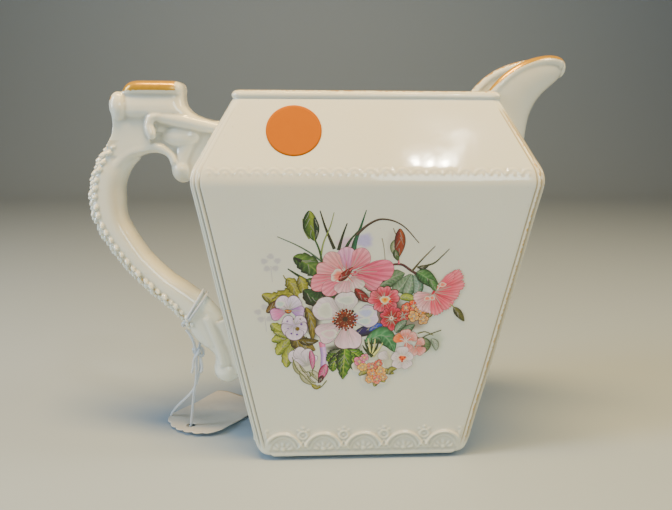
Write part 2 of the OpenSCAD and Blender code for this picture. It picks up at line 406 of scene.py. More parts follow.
def corner_arc(a, b, c, radius, n=10):
    """Points of the arc that rounds the corner at b between a and c."""
    a, b, c = (np.asarray(p, float) for p in (a, b, c))
    u, v = (a - b) / np.linalg.norm(a - b), (c - b) / np.linalg.norm(c - b)
    half = math.acos(u @ v) / 2
    middle = b + (u + v) / np.linalg.norm(u + v) * radius / math.sin(half)
    p, q = b + u * radius / math.tan(half) - middle, b + v * radius / math.tan(half) - middle
    w = p + (q - p) * np.linspace(0, 1, n + 1)[:, None]
    return middle + w / np.linalg.norm(w, axis=1)[:, None] * radius


def outer_outline(k):
    """(half size, height) up the outside; k is 0 for the width and 1 for the depth."""
    f, b, s = (FOOT[k], FOOT_Z), (BREAK[k], BREAK_Z), (NECK[k], NECK_Z)
    return np.vstack([
        corner_arc((0, FOOT_Z), f, b, FOOT_ROUNDING[k], 14),
        corner_arc(f, b, s, BREAK_ROUNDING, 14),
        [(NECK[k] + 0.1, NECK_Z - 0.2), (NECK[k] - 0.1, NECK_Z + 0.1), (COLLAR[k] + 0.1, NECK_Z + 0.45)],
        corner_arc((COLLAR[k] + 0.25, NECK_Z), (COLLAR[k] + 0.25, RIM_Z), (0, RIM_Z), 1.9, 10),
    ])


def inner_outline(k):
    """The same up the inside."""
    f, b, s = (FOOT[k] - WALL + 0.7, FLOOR_Z), (BREAK[k] - WALL, BREAK_Z), (NECK[k] - WALL, NECK_Z)
    edge = COLLAR[k] - WALL
    return np.vstack([
        corner_arc((0, FLOOR_Z), f, b, 6.0, 14),
        corner_arc(f, b, s, BREAK_ROUNDING - WALL, 14),
        [s],
        corner_arc((edge, NECK_Z), (edge, RIM_Z), (60, RIM_Z), 1.1, 8),
    ])


OUTER = [outer_outline(0), outer_outline(1)]
INNER = [inner_outline(0), inner_outline(1)]


def half_size(z, k, outline=OUTER):
    """Half the body's width (k = 0) or depth (k = 1) at height z."""
    return np.interp(z, outline[k][:, 1], outline[k][:, 0])


def corner_cut(z):
    """How far the bevel cuts back each upright corner at height z."""
    return np.interp(z, [0, 6, BREAK_Z, NECK_Z, RIM_Z], [2.6, 3.8, 3.8, 2.9, 2.4])


def unevenness(x, y, z):
    """How far the hand-finished panels stand from true."""
    broad = 0.16 * np.sin(0.052 * x + 1.1) * np.cos(0.061 * z + 0.4)
    return broad + 0.07 * np.sin(0.13 * z + 0.11 * x + 2.0 * np.sign(y))


LACE_PITCH = 15.5  # from one arch of the lace to the next


def lace(s, z, first):
    """Height of the moulded lace: arches with petals and beads in them. s runs along the panel,
    and first is where one arch stands."""
    pitch = LACE_PITCH
    u = (s - first + pitch / 2) % pitch - pitch / 2
    v = pitch / 2 - np.abs(u)
    outer = (np.hypot(u / 7.0, (z - 4.6) / 7.1) - 1) * 7.0
    inner = (np.hypot(u / 5.0, (z - 4.6) / 5.5) - 1) * 5.2
    h = 0.72 * ridge(outer, 0.6) * ramp(z, 5.4, 6.6) + 0.34 * ridge(inner, 0.42) * ramp(z, 4.8, 5.8)
    h += 0.2 * ridge(outer, 1.5) * ramp(z, 5.4, 6.6)
    for turn, reach in ((90, 2.6), (50, 2.9), (130, 2.9), (16, 2.8), (164, 2.8)):
        c, k = math.cos(math.radians(turn)), math.sin(math.radians(turn))
        along, across = u * c + (z - 4.4) * k - reach, -u * k + (z - 4.4) * c
        h += 0.5 * np.exp(-((along / 0.95) ** 2) - (across / 0.55) ** 2)
    h += 0.6 * ridge(np.hypot(u, z - 4.9), 0.75)
    h += 0.3 * ridge(u - 3.4, 0.4) * ridge(z - 6.0, 0.9) + 0.3 * ridge(u + 3.4, 0.4) * ridge(z - 6.0, 0.9)
    rosette = np.hypot(v, z - 11.0)
    bead = np.hypot(v, z - 13.9)
    h += 0.42 * ridge(rosette - 1.6, 0.42) + 0.4 * ridge(rosette, 0.55) + 0.34 * ridge(bead, 0.6)
    h += 0.32 * ridge(np.hypot(v - 1.8, z - 13.0), 0.5)
    h += 0.36 * ridge(v * 0.86 - (8.6 - z) * 0.5, 0.42) * ramp(z, 4.2, 5.0) * ramp(-z, -9.2, -8.2)
    h += 0.36 * ridge(np.hypot(v, z - 6.0), 0.65)
    return 0.85 * h + 0.6 * ridge(z - 2.3, 1.0) - 0.2 * ridge(z - 4.0, 0.4)


def beading(s, z):
    """Height of the small scallops along the shoulder, 5.4 mm apart."""
    pitch = 5.4
    u = (s + pitch / 2) % pitch - pitch / 2
    base = 110.9
    arch = (np.hypot(u / 2.25, (z - base) / 1.7) - 1) * 2.0
    h = 0.16 * ridge(arch, 0.4) * ramp(z, base - 0.2, base + 0.4)
    h += 0.2 * ridge(np.hypot(u, z - base - 0.2), 0.6)
    return h + 0.2 * ridge(np.hypot(pitch / 2 - np.abs(u), z - base), 0.45)


# The spout's end wall dips in a U where the spout is joined: its half width, and the height
# above which the wall's rings are lowered to make room for it.
DIP_HALF, DIP_FROM = 11.6, 112.0


def notch(y):
    """Height of that end wall's top."""
    return 141.5 - 24.5 * np.sqrt(np.clip(1 - (y / DIP_HALF) ** 2, 0, 1))


def ring_heights():
    """Heights of the body's rings, up the outside and down the inside."""
    outside = np.concatenate([
        FOOT_Z + 4.2 * (1 - np.cos(np.linspace(0, math.pi / 2, 9)))[:-1] * 0.75,
        np.arange(4.4, 15.6, 0.28),
        np.linspace(16.2, 104, 42),
        np.arange(105, 116, 0.3),
        np.linspace(116.8, 133.0, 12),
        [133.9, 134.6, 135.1, 135.4, 135.7, 136.05, 136.3],
        RIM_Z - 1.9 + 1.9 * np.sin(np.linspace(0.08, math.pi / 2, 9)),
    ])
    inside = np.concatenate([
        RIM_Z - 1.1 + 1.1 * np.cos(np.linspace(0, math.pi / 2, 5)),
        np.linspace(136, 118, 8),
        np.linspace(115, 12, 22),
        FLOOR_Z + 5.2 * np.cos(np.linspace(0.1, math.pi / 2, 9)),
    ])
    return outside, inside


def ring_columns():
    """For each column: its kind, its place along a panel (-1 to 1) and its place round a corner
    (0 to 1). Kinds 0 to 3 are the front, spout end, back and handle end, and kinds 4 to 7 are the
    corners after them."""
    kinds, s_of, t_of = [], [], []
    for kind in (0, 4, 1, 5, 2, 6, 3, 7):
        count = CORNER_COLUMNS if kind > 3 else (FRONT_COLUMNS, END_COLUMNS)[kind % 2]
        kinds += [kind] * count
        s_of += list(np.linspace(-1, 1, count)) if kind < 4 else [0.0] * count
        t_of += list((np.arange(count) + 1) / (count + 1)) if kind > 3 else [0.0] * count
    return np.array(kinds)[None], np.array(s_of)[None], np.array(t_of)[None]


def ease_corners(p, kinds):
    """Rounds the edges between the columns of different kinds, as a glaze does."""
    near = np.zeros(len(kinds))
    for e in np.flatnonzero(np.diff(kinds, append=kinds[0])):
        for k in range(-7, 9):
            near[(e + k) % len(near)] = max(near[(e + k) % len(near)], 1 - max(0, abs(k - 0.5) - 3) / 5)
    weights = np.exp(-0.5 * (np.arange(-6, 7) / 2.2) ** 2)
    eased = sum(w * np.roll(p, k, axis=1) for k, w in zip(range(-6, 7), weights / weights.sum()))
    return p + (eased - p) * near[None, :, None]


def add_underside(points, faces, first, last):
    """Closes the underside below the first ring: a flat seat for the foot ring, then a shallow
    recess. The inside's floor closes the last ring."""
    columns = len(first)
    previous = 0
    for half, depth, height in (
        (34.4, 14.6, FOOT_Z), (33.0, 11.6, FOOT_Z), (32.4, 11.0, 2.1), (20.0, 6.0, 2.2)
    ):
        ring = first.copy()
        size = np.abs(ring[:, :2]).max(0)
        ring[:, 0] *= half / size[0]
        ring[:, 1] *= depth / size[1]
        ring[:, 2] = height
        base = len(points)
        points = np.vstack([points, ring])
        faces += [
            [base + j, base + (j + 1) % columns, previous + (j + 1) % columns, previous + j]
            for j in range(columns)
        ]
        previous = base
    faces.append(list(range(previous, previous + columns))[::-1])
    faces.append(list(range(last, last + columns)))
    return points


def build_body():
    """The hollow body with its moulded lace, beading and reeded corners. Its relief is moved
    out from the smooth form; painted shade darkens its hollows, and painted reflections line its corner
    grooves."""
    z_out, z_in = ring_heights()
    zs = np.concatenate([z_out, z_in])
    outside = np.concatenate([np.ones(len(z_out)), np.zeros(len(z_in))])[:, None]
    kinds, s_of, t_of = ring_columns()

    def where(z):
        """Points of the rings whose heights are z, one row for each ring."""
        hx = np.where(outside > 0, half_size(z, 0), half_size(z, 0, INNER))
        hy = np.where(outside > 0, half_size(z, 1), half_size(z, 1, INNER))
        cut = np.where(outside > 0, corner_cut(z), 1.6)
        bulge = 0.16 * cut * np.sin(math.pi * t_of)
        x, y = np.zeros_like(z), np.zeros_like(z)
        for panel, corner, sign in ((0, 4, 1), (2, 6, -1)):
            x = np.where(kinds == panel, sign * s_of * (hx - cut), x)
            y = np.where(kinds == panel, -sign * hy, y)
            x = np.where(kinds == corner, sign * (hx - cut + t_of * cut + bulge), x)
            y = np.where(kinds == corner, -sign * (hy - t_of * cut + bulge), y)
        for panel, corner, sign in ((1, 5, 1), (3, 7, -1)):
            x = np.where(kinds == panel, sign * hx, x)
            y = np.where(kinds == panel, sign * s_of * (hy - cut), y)
            x = np.where(kinds == corner, sign * (hx - t_of * cut + bulge), x)
            y = np.where(kinds == corner, sign * (hy - cut + t_of * cut + bulge), y)
        return np.stack([x, y, z], -1)

    z = np.repeat(zs[:, None], kinds.shape[1], 1)
    y_top = where(z)[..., 1]
    top = np.minimum(RIM_Z, notch(y_top))
    lowered = DIP_FROM + (z - DIP_FROM) * np.clip((top - DIP_FROM) / (RIM_Z - DIP_FROM), 0.12, 1)
    z = np.where((kinds == 1) & (z > DIP_FROM) & (np.abs(y_top) < DIP_HALF), lowered, z)
    p = ease_corners(where(z), kinds[0])
    across = np.roll(p, -1, 1) - np.roll(p, 1, 1)
    up = np.gradient(p, axis=0)
    normal = np.cross(across, up)
    normal /= np.maximum(np.linalg.norm(normal, axis=-1), 1e-9)[..., None]
    x, y, zz = p[..., 0], p[..., 1], p[..., 2]
    along = np.where(kinds % 2 == 0, x, y)
    panel = kinds < 4
    limit = np.where(kinds % 2 == 0, half_size(zz, 0), half_size(zz, 1)) - corner_cut(zz) - 0.6
    keep = ramp(limit - np.abs(along), 0, 1.2) * panel
    first = np.where(kinds % 2 == 0, 0.0, LACE_PITCH / 2)
    raised = keep * lace(along, zz, first) * (zz < 16)
    raised = raised + keep * beading(along, zz) * (zz > 106) * (zz < 115)
    # Painted shade: the colour is darkened in the hollows of the relief.
    shifts = [(-3, 0), (3, 0), (-2, 0), (2, 0), (-3, 1), (3, 1), (-5, 1), (5, 1)]
    around = sum(np.roll(raised, shift, axis) for shift, axis in shifts) / len(shifts)
    hollow = 0.3 * np.clip((around - raised) / 0.22, 0, 1) * panel * (zz > 1.5) * (zz < 116)
    grooves = sum(ridge(t_of - at, 0.05) for at in (0.03, 0.35, 0.65, 0.97))
    reeds = sum(0.36 * ridge(t_of - at, 0.09) for at in (0.2, 0.5, 0.8)) - 0.26 * grooves
    fade = ramp(zz, 3.5, 8) * ramp(-zz, -133.5, -131) * (0.12 + 0.88 * ramp(-zz, -117, -107))
    raised = raised + (~panel) * reeds * fade
    raised = raised + unevenness(x, y, zz) * ramp(zz, 3, 20) * ramp(-zz, -134, -120)
    p = p + normal * (raised * outside)[..., None]
    rows, columns = p.shape[:2]
    faces = grid_faces(rows, columns, True)
    points = add_underside(p.reshape(-1, 3), faces, p[0], (rows - 1) * columns)
    corner = (~panel) * outside * ramp(zz, 4, 10) * ramp(-zz, -133, -131)
    gilt = corner * np.where(x > 0, 0.55, 0.3) * (
        ridge(t_of - 0.2, 0.1) + ridge(t_of - 0.8, 0.1) + 0.5 * grooves
    )
    # Painted reflections in the corner grooves: grey lines on the handle's side, fainter up the shoulder, and
    # olive lines on the spout's side; painted shade in the hollows is added to them.
    slope = ramp(-zz, -113, -104)
    olive = 0.8 * np.clip(grooves + 0.5 * ridge(t_of - 0.5, 0.3), 0, 1)
    line = corner * np.where(x > 0, -olive, (0.2 + 0.7 * slope) * grooves) + hollow * outside
    gilt, line = (np.concatenate([v.ravel(), np.zeros(len(points) - p.size // 3)]) for v in (gilt, line))
    obj = make("body", points, faces, GLAZE, gilt=gilt, line=line)
    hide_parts("body_shell")
    return obj


def front_surface(x, z):
    """The y of the front panel at x and z."""
    return -half_size(z, 1) - unevenness(x, -1.0, z) * ramp(z, 3, 20) * ramp(-z, -134, -120)


# Points of a petal from base to tip and across, and of a leaf across.
PETAL_ROWS, PETAL_COLUMNS, LEAF_COLUMNS = 11, 31, 17


def around(middle, radius, angles):
    """Points of a circle at angles in degrees."""
    turns = [math.radians(a) for a in angles]
    return [(middle[0] + radius * math.cos(a), middle[1] + radius * math.sin(a)) for a in turns]


def seeds(middle, count, first, last, squash=1.0):
    """Points packed in a spiral, as the stamens of a flower are."""
    for k in range(count):
        a, r = 2.399 * k, first + last * math.sqrt((k + 1) / (count + 1))
        yield k, (middle[0] + r * math.cos(a), middle[1] + squash * r * math.sin(a))


class Painter:
    """A printed picture: flat shapes, each laid over the ones before it. Points are (x, z) on the
    panel in millimetres and colours are as on a screen."""

    def __init__(self, seed):
        self.parts, self.colors = [], []
        self.random = np.random.default_rng(seed)

    def lay(self, xz, faces, rgb, alpha=1.0):
        """Adds a shape on top. Its colour is made stronger and a little lighter, with a grain."""
        xz = np.asarray(xz, float).reshape(-1, 2)
        rgb = np.asarray(rgb, float)
        rgb = np.broadcast_to(rgb, (len(xz), 3)) if rgb.ndim == 1 else rgb.reshape(-1, 3)
        grain = self.random.normal(0, 4, (len(xz), 1))
        mean = rgb.mean(-1, keepdims=True)
        color = to_linear(((mean + (rgb - mean) * 1.3) * [1.0, 0.95, 1.01] + grain - 255) * 1.15 + 255)
        color[:, 3] = np.broadcast_to(np.ravel(alpha) if np.ndim(alpha) else alpha, (len(xz),))
        depth = np.full(len(xz), 0.02 + 0.0002 * len(self.parts))
        self.parts.append((np.column_stack([xz[:, 0], depth, xz[:, 1]]), faces))
        self.colors.append(color)

    def fan(self, base, tip, spread, notch, fringe, point, wave, phase, grow=0.0):
        """Points of a petal's shape: its tip may be notched, fringed or pointed."""
        base, tip = np.array(base, float), np.array(tip, float)
        length = np.linalg.norm(tip - base) + grow
        turn = math.atan2(tip[1] - base[1], tip[0] - base[0])
        q = np.linspace(-1, 1, PETAL_COLUMNS)
        reach = 1 - 0.26 * np.abs(q) ** 3.2 - notch * np.exp(-((q / 0.2) ** 2)) - point * np.abs(q) ** 1.3
        reach = reach + wave * np.sin(4.3 * q + phase) + fringe * np.abs(np.sin(11 * q + phase))
        angle = turn + math.radians(spread) * q * (1 + grow / length)
        rho = np.linspace(0, 1, PETAL_ROWS)[:, None]
        r = length * reach[None] * rho
        xz = base + np.stack([r * np.cos(angle), r * np.sin(angle)], -1)
        return xz, rho, q[None]

    def petal(
        self, base, tip, spread, throat, body, edge,
        notch=0.0, fringe=0.0, point=0.0, streak=7.0, line=0.16, ink=None, wave=0.03,
    ):
        """A petal whose colour goes from its throat over its body to its edge, with an outline
        and a few strokes of ink."""
        phase = self.random.uniform(0, 6.3)
        throat, body, edge = (np.array(c, float) for c in (throat, body, edge))
        ink = body * 0.52 if ink is None else ink
        if line:
            xz, rho, q = self.fan(base, tip, spread, notch, fringe, point, wave, phase, line)
            self.lay(xz, grid_faces(PETAL_ROWS, PETAL_COLUMNS, False), ink)
        xz, rho, q = self.fan(base, tip, spread, notch, fringe, point, wave, phase)
        color = throat + (body - throat) * ramp(rho, 0.05, 0.45)[..., None]
        color = color + (edge - color) * ramp(rho, 0.5, 1.0)[..., None]
        shade = streak * np.sin(15 * q + phase) * np.sqrt(rho) + streak * 0.7 * np.sin(37 * q - phase) * rho
        shade = shade - 20 * np.abs(q) ** 3 + 10 * q * math.cos(phase) - 9 * (1 - rho)
        self.lay(xz, grid_faces(PETAL_ROWS, PETAL_COLUMNS, False), color + shade[..., None])
        for k in self.random.integers(3, 28, 5):
            reach = self.random.integers(5, 10)
            self.stroke(xz[[1, reach // 2, reach], k], 0.26, 0.08, np.array(ink, float) * 0.8, 0.55)

    def bloom(self, middle, radius, count, first, spread, throat, body, edge, **more):
        """A round flower of petals."""
        for k in range(count):
            r = radius * (1 + 0.09 * math.sin(2.3 * k + first))
            (tip,) = around(middle, r, [first + 360 * k / count])
            self.petal(middle, tip, spread, throat, body, edge, **more)

    def leaf(self, spine, width, dark, light, vein, teeth=0, bite=0.3, ribs=7, line=0.14):
        """A leaf along its spine, dark on one side of it and light on the other."""
        spine = through(np.array([(x, 0, z) for x, z in spine], float), 12)[:, ::2]
        t = np.linspace(0, 1, len(spine))
        along = np.gradient(spine, axis=0)
        along /= np.linalg.norm(along, axis=1)[:, None]
        side = np.stack([-along[:, 1], along[:, 0]], 1)
        half = width / 2 * np.sin(math.pi * np.clip(t, 0.003, 0.997) ** 0.85) ** 0.8
        if teeth:
            half = half * (1 - bite * ((t * teeth) % 1))
        v = np.linspace(-1, 1, LEAF_COLUMNS)
        dark, light, vein = (np.array(c, float) for c in (dark, light, vein))
        faces = grid_faces(len(t), LEAF_COLUMNS, False)
        if line:
            self.lay(
                spine[:, None] + side[:, None] * ((half + line)[:, None] * v)[..., None], faces,
                dark * 0.62,
            )
        tone = 0.45 + 0.35 * np.tanh(3 * v)[None] + 0.2 * np.sin(5 * t[:, None] + 3 * v[None])
        color = dark + (light - dark) * np.clip(tone, 0, 1)[..., None]
        rib = ridge((t[:, None] * ribs - np.abs(v)[None] * 0.8) % 1 - 0.5, 0.16) * 0.5 * (np.abs(v) < 0.85)
        rib = np.maximum(rib, 0.75 * ridge(v, 0.09)[None] * np.ones_like(rib))
        color = color + (vein - color) * rib[..., None]
        color = color * (1 - 0.25 * np.abs(v[None, :, None]) ** 4)
        skin = spine[:, None] + side[:, None] * (half[:, None] * v)[..., None]
        self.lay(skin, faces, color)
        for k in self.random.integers(0, len(t) - 8, 4):
            edge = self.random.choice([2, 4, 12, 14])
            self.stroke(
                [skin[k, 8], skin[k + 3, (8 + edge) // 2], skin[k + 6, edge]], 0.3, 0.1, dark * 0.45, 0.7
            )

    def stroke(self, spine, start, end, rgb, alpha=1.0):
        """A stem or blade of grass, tapering from one width to the other."""
        spine = through(np.array([(x, 0, z) for x, z in spine], float), 9)[:, ::2]
        along = np.gradient(spine, axis=0)
        along /= np.linalg.norm(along, axis=1)[:, None]
        side = np.stack([-along[:, 1], along[:, 0]], 1)
        half = np.linspace(start, end, len(spine)) / 2
        v = np.array([-1, -0.3, 0.3, 1.0])
        shade = np.array([0.8, 1.0, 1.25, 1.0])[None, :, None]
        rgb = np.array(rgb, float)[None, None] * shade * np.ones((len(spine), 4, 1))
        xz = spine[:, None] + side[:, None] * (half[:, None] * v)[..., None]
        self.lay(xz, grid_faces(len(spine), 4, False), rgb, alpha)

    def wash(self, middle, rx, rz, rgb, alpha):
        """A soft-edged patch of colour."""
        a = np.linspace(0, 2 * math.pi, 28, endpoint=False)[None, :]
        r = np.linspace(0.04, 1, 8)[:, None]
        wobble = 1 + 0.1 * np.sin(3 * a + middle[0]) + 0.06 * np.sin(7 * a)
        xz = np.array(middle, float) + np.stack(
            [rx * r * wobble * np.cos(a), rz * r * wobble * np.sin(a)], -1
        )
        fade = alpha * (1 - ramp(r, 0.45, 1.0)) * np.ones_like(a)
        self.lay(xz, grid_faces(8, 28, True) + [list(range(28))], rgb, fade)

    def dot(self, middle, radius, rgb):
        a = np.linspace(0, 2 * math.pi, 10, endpoint=False)
        self.lay(
            np.array(middle, float) + radius * np.stack([np.cos(a), np.sin(a)], -1), [list(range(10))],
            rgb,
        )

    def finish(self, name, mirror=False):
        """The picture as one object on the front panel, or mirrored on the back one."""
        points, faces = gather(self.parts)
        depth = points[:, 1].copy()
        if mirror:
            points[:, 0] = -points[:, 0]
            points[:, 1] = half_size(points[:, 2], 1) + unevenness(points[:, 0], 1.0, points[:, 2]) + depth
            faces = [f[::-1] for f in faces]
        else:
            points[:, 1] = front_surface(points[:, 0], points[:, 2]) - depth
        return make(name, points, faces, PRINT, smooth=False, colors=np.vstack(self.colors))


def paint_washes(p):
    """Pale shadows and washes behind everything."""
    for x, z, r in ((-34, 80, 3.2), (-36.5, 61.2, 3.4)):
        for q in around((x, z), r * 0.75, range(20, 380, 72)):
            p.wash(q, r * 0.5, r * 0.42, (170, 172, 184), 0.5)
        p.stroke([(x, z - 1), (x + 0.4, z - 7)], 0.3, 0.2, (176, 178, 182), 0.6)
    for patch in (
        ((-1.7, 88), 4, 3.4, (186, 184, 226), 0.75),
        ((-8, 87), 4, 3, (212, 180, 206), 0.6),
        ((16, 69), 7, 7, (168, 200, 184), 0.7),
        ((8.5, 86.5), 3.5, 6, (206, 210, 196), 0.6),
        ((-30, 52), 6, 8, (196, 204, 130), 0.6),
        ((24, 49.5), 6, 5, (176, 200, 176), 0.6),
        ((8, 42), 8, 6, (214, 222, 190), 0.7),
        ((-20, 39), 7, 7, (216, 220, 196), 0.6),
    ):
        p.wash(*patch)


def paint_grasses(p):
    """Grasses, buds and stems above."""
    for stem in (
        ([(-31.6, 89.5), (-25.3, 86.6), (-20.4, 83.7), (-16.3, 80.4)], 0.25, 0.7, (84, 108, 88)),
        ([(-17.0, 98.6), (-15.0, 92.3), (-12.0, 85.0)], 0.35, 1.2, (58, 62, 42)),
        ([(-12.2, 98), (-13.5, 93), (-15.8, 87.2), (-16.8, 81.5)], 0.25, 0.7, (128, 146, 92)),
        ([(-7.7, 94.2), (-9.2, 89.8), (-10.6, 84.6)], 0.35, 1.3, (48, 62, 42)),
        ([(-1.2, 98.8), (-3.2, 92.3), (-4.8, 87.9), (-5.6, 83.6)], 0.3, 2.2, (50, 94, 72)),
        ([(-8.4, 84.4), (-6.7, 87.9), (-4.0, 91.3)], 1.4, 0.4, (44, 74, 50)),
        ([(-4.4, 90.0), (-1.2, 93.1), (2.4, 95.2), (5.4, 95.5), (9.0, 94.6), (12.6, 92.3), (17.4, 87.0)],
         0.95, 0.3, (84, 76, 66)),
        ([(-18.8, 88.6), (-17.2, 84.6), (-16.0, 79.5)], 0.6, 0.8, (62, 92, 58)),
        ([(-22.9, 95.8), (-22.3, 92), (-20.4, 88.8)], 0.3, 1.2, (128, 150, 86)),
    ):
        p.stroke(*stem)
    p.leaf(
        [(-20.7, 98.6), (-20.2, 93), (-18.9, 88.0)], 4.8, (54, 88, 50), (168, 184, 96), (120, 140, 70),
        line=0.18,
    )
    p.leaf([(-18.9, 96.2), (-18.1, 92.4), (-18.4, 88.4)], 1.6, (30, 60, 44), (60, 92, 60), (50, 80, 56))
    for stem in (
        ([(-28.2, 77.9), (-24.6, 75.4), (-19.6, 72.2)], 0.4, 1.4, (40, 68, 42)),
        ([(5.8, 80.4), (5.2, 85.3), (4.4, 88.8)], 0.3, 0.35, (150, 152, 134)),
        ([(8.2, 92.4), (9.0, 90.6), (10.2, 89)], 0.3, 0.6, (130, 128, 110)),
        ([(5.4, 78.6), (11.2, 79.3), (15.1, 76.9), (19.4, 74.2), (24.2, 71.4)], 0.8, 1.1, (88, 62, 62)),
        ([(15.4, 76.7), (18.6, 80.8), (23.2, 85.9)], 0.8, 0.25, (92, 92, 72)),
        ([(17.2, 78.0), (22.8, 79.5), (25.6, 82.0), (28.2, 84.8)], 0.8, 0.25, (78, 84, 60)),
    ):
        p.stroke(*stem)
    p.leaf([(17.6, 78.2), (19.2, 78.0), (21.2, 78.6)], 1.5, (54, 60, 44), (98, 104, 74), (110, 116, 84))
    p.stroke([(10.2, 82.2), (10.7, 79.4)], 0.6, 0.7, (196, 120, 134))
    p.leaf([(8.9, 88.2), (8.6, 85.3), (9.7, 81.6)], 2.3, (120, 140, 104), (214, 218, 196), (200, 206, 180))
    p.leaf(
        [(10.5, 92.2), (10.7, 87), (10.0, 81.2)], 3.6, (104, 44, 34), (176, 122, 74), (150, 70, 44),
        line=0.18,
    )
    p.leaf([(9.0, 84.6), (9.6, 82.6), (10.4, 80.6)], 2.0, (58, 82, 54), (112, 134, 92), (120, 140, 100))


def paint_leaves(p):
    """Leaves left and right of the mallow."""
    dark_leaf = (26, 48, 34)
    gold_leaf, lime, pale_rib = (112, 116, 46), (178, 186, 92), (214, 214, 140)
    p.leaf(
        [(-26.2, 82.2), (-22.5, 80.4), (-18.5, 77.2), (-16.6, 73.8)], 7.4, (44, 76, 46), (116, 148, 84),
        (156, 176, 112), 5, 0.2,
    )
    p.stroke([(-26.0, 82.0), (-23.4, 80.6)], 0.5, 1.4, (30, 46, 34))
    for leaf in (
        ([(-21.5, 74), (-18.8, 72.4), (-16, 72.4)], 3.4, (40, 70, 44), (88, 118, 66), (120, 140, 80)),
        ([(4.4, 71.2), (8.5, 74.4), (12.9, 75.9)], 6.2, (84, 116, 86), (142, 166, 132), (178, 196, 164),
         4, 0.16),
        ([(8.2, 67.6), (12, 71), (15.0, 75.7)], 5.4, (78, 112, 84), (156, 182, 152), (196, 212, 186), 4,
         0.16),
        ([(13.0, 66.4), (15, 71), (15.4, 75.6)], 4.4, (92, 128, 100), (168, 192, 166), (204, 218, 196),
         4, 0.16),
        ([(17.2, 67.4), (18.0, 71.2), (16.2, 75.4)], 3.4, (92, 130, 104), (170, 196, 178),
         (204, 220, 206)),
    ):
        p.leaf(*leaf)
    p.stroke([(-1.0, 69.2), (2.5, 71.8), (5.8, 73.4)], 1.3, 0.8, (46, 62, 46))
    p.leaf([(-2.4, 71.4), (0.5, 69.5), (3.2, 67.0)], 4.6, (32, 60, 42), (66, 100, 66), (96, 126, 84), 4, 0.2)
    for spine, w in (
        ([(-37.4, 68.4), (-32.5, 66.6), (-27, 68.6), (-22, 72.4)], 6.6),
        ([(-34.4, 64.6), (-31, 66.6), (-26, 67.8)], 3.6),
        ([(-28.6, 74.4), (-26.4, 71.4), (-24.4, 67)], 5.2),
        ([(-24.2, 75), (-23, 71.6), (-22.6, 67.6)], 4.4),
    ):
        p.leaf(spine, w, gold_leaf, lime, pale_rib, 5, 0.28)
    p.stroke([(-29.8, 75.6), (-29.0, 74.2), (-27.4, 73.4)], 0.3, 0.5, (110, 116, 56))
    p.leaf([(-36.0, 61.6), (-32.5, 64.4), (-29.4, 66.2)], 3.4, (84, 70, 48), (134, 118, 72), (150, 140, 90))
    for patch in (
        ((-19.5, 58), 4.2, 9, (62, 56, 36), 0.9),
        ((-15, 67.8), 9, 3.2, (40, 56, 38), 0.9),
        ((-4, 67.5), 6, 3.6, (64, 34, 36), 0.9),
        ((3, 55.5), 6, 5, (52, 38, 64), 0.9),
        ((-8, 47), 9, 3.6, (44, 52, 40), 0.9),
        ((8.5, 61), 9, 8, (92, 44, 44), 0.9),
        ((15.6, 58), 7, 6, (120, 92, 60), 0.7),
        ((-27, 51.5), 7, 3.4, (78, 76, 46), 0.8),
    ):
        p.wash(*patch)
    p.leaf([(-22.8, 70), (-18.5, 66.6), (-12.4, 67.6)], 6.6, dark_leaf, (58, 96, 62), (98, 132, 84), 6, 0.22)
    p.leaf([(-16.4, 69.0), (-11.5, 66.3), (-6, 69.8)], 4.2, dark_leaf, (60, 96, 62), (104, 136, 88), 6, 0.22)
    for spine, w in (
        ([(-34.6, 57.2), (-31.8, 55), (-28.4, 52.2)], 4.4),
        ([(-34.4, 50.6), (-30.8, 51.6), (-27, 52.2)], 4.2),
        ([(-32.6, 45), (-30.4, 48.2), (-27.2, 51.6)], 4.8),
        ([(-29.2, 39.8), (-28.6, 44.8), (-26.2, 50.2)], 4.6),
        ([(-33.4, 54), (-30.6, 53), (-27.6, 51.6)], 2.4),
    ):
        p.leaf(spine, w, (112, 132, 56), (190, 202, 108), (220, 224, 152), 5, 0.26)
    for leaf in (
        ([(-27.6, 52.4), (-23.5, 49.2), (-18.6, 46.6)], 6.6, (92, 88, 48), (150, 146, 84),
         (180, 174, 112), 4, 0.2),
        ([(-22.0, 63.5), (-20.0, 58), (-19.6, 50)], 3.6, (86, 82, 40), (152, 148, 76), (196, 190, 116),
         4, 0.2),
        ([(-24.6, 50.6), (-21.4, 50), (-17.4, 50.4)], 2.8, (70, 66, 38), (116, 112, 60), (150, 144, 84)),
    ):
        p.leaf(*leaf)


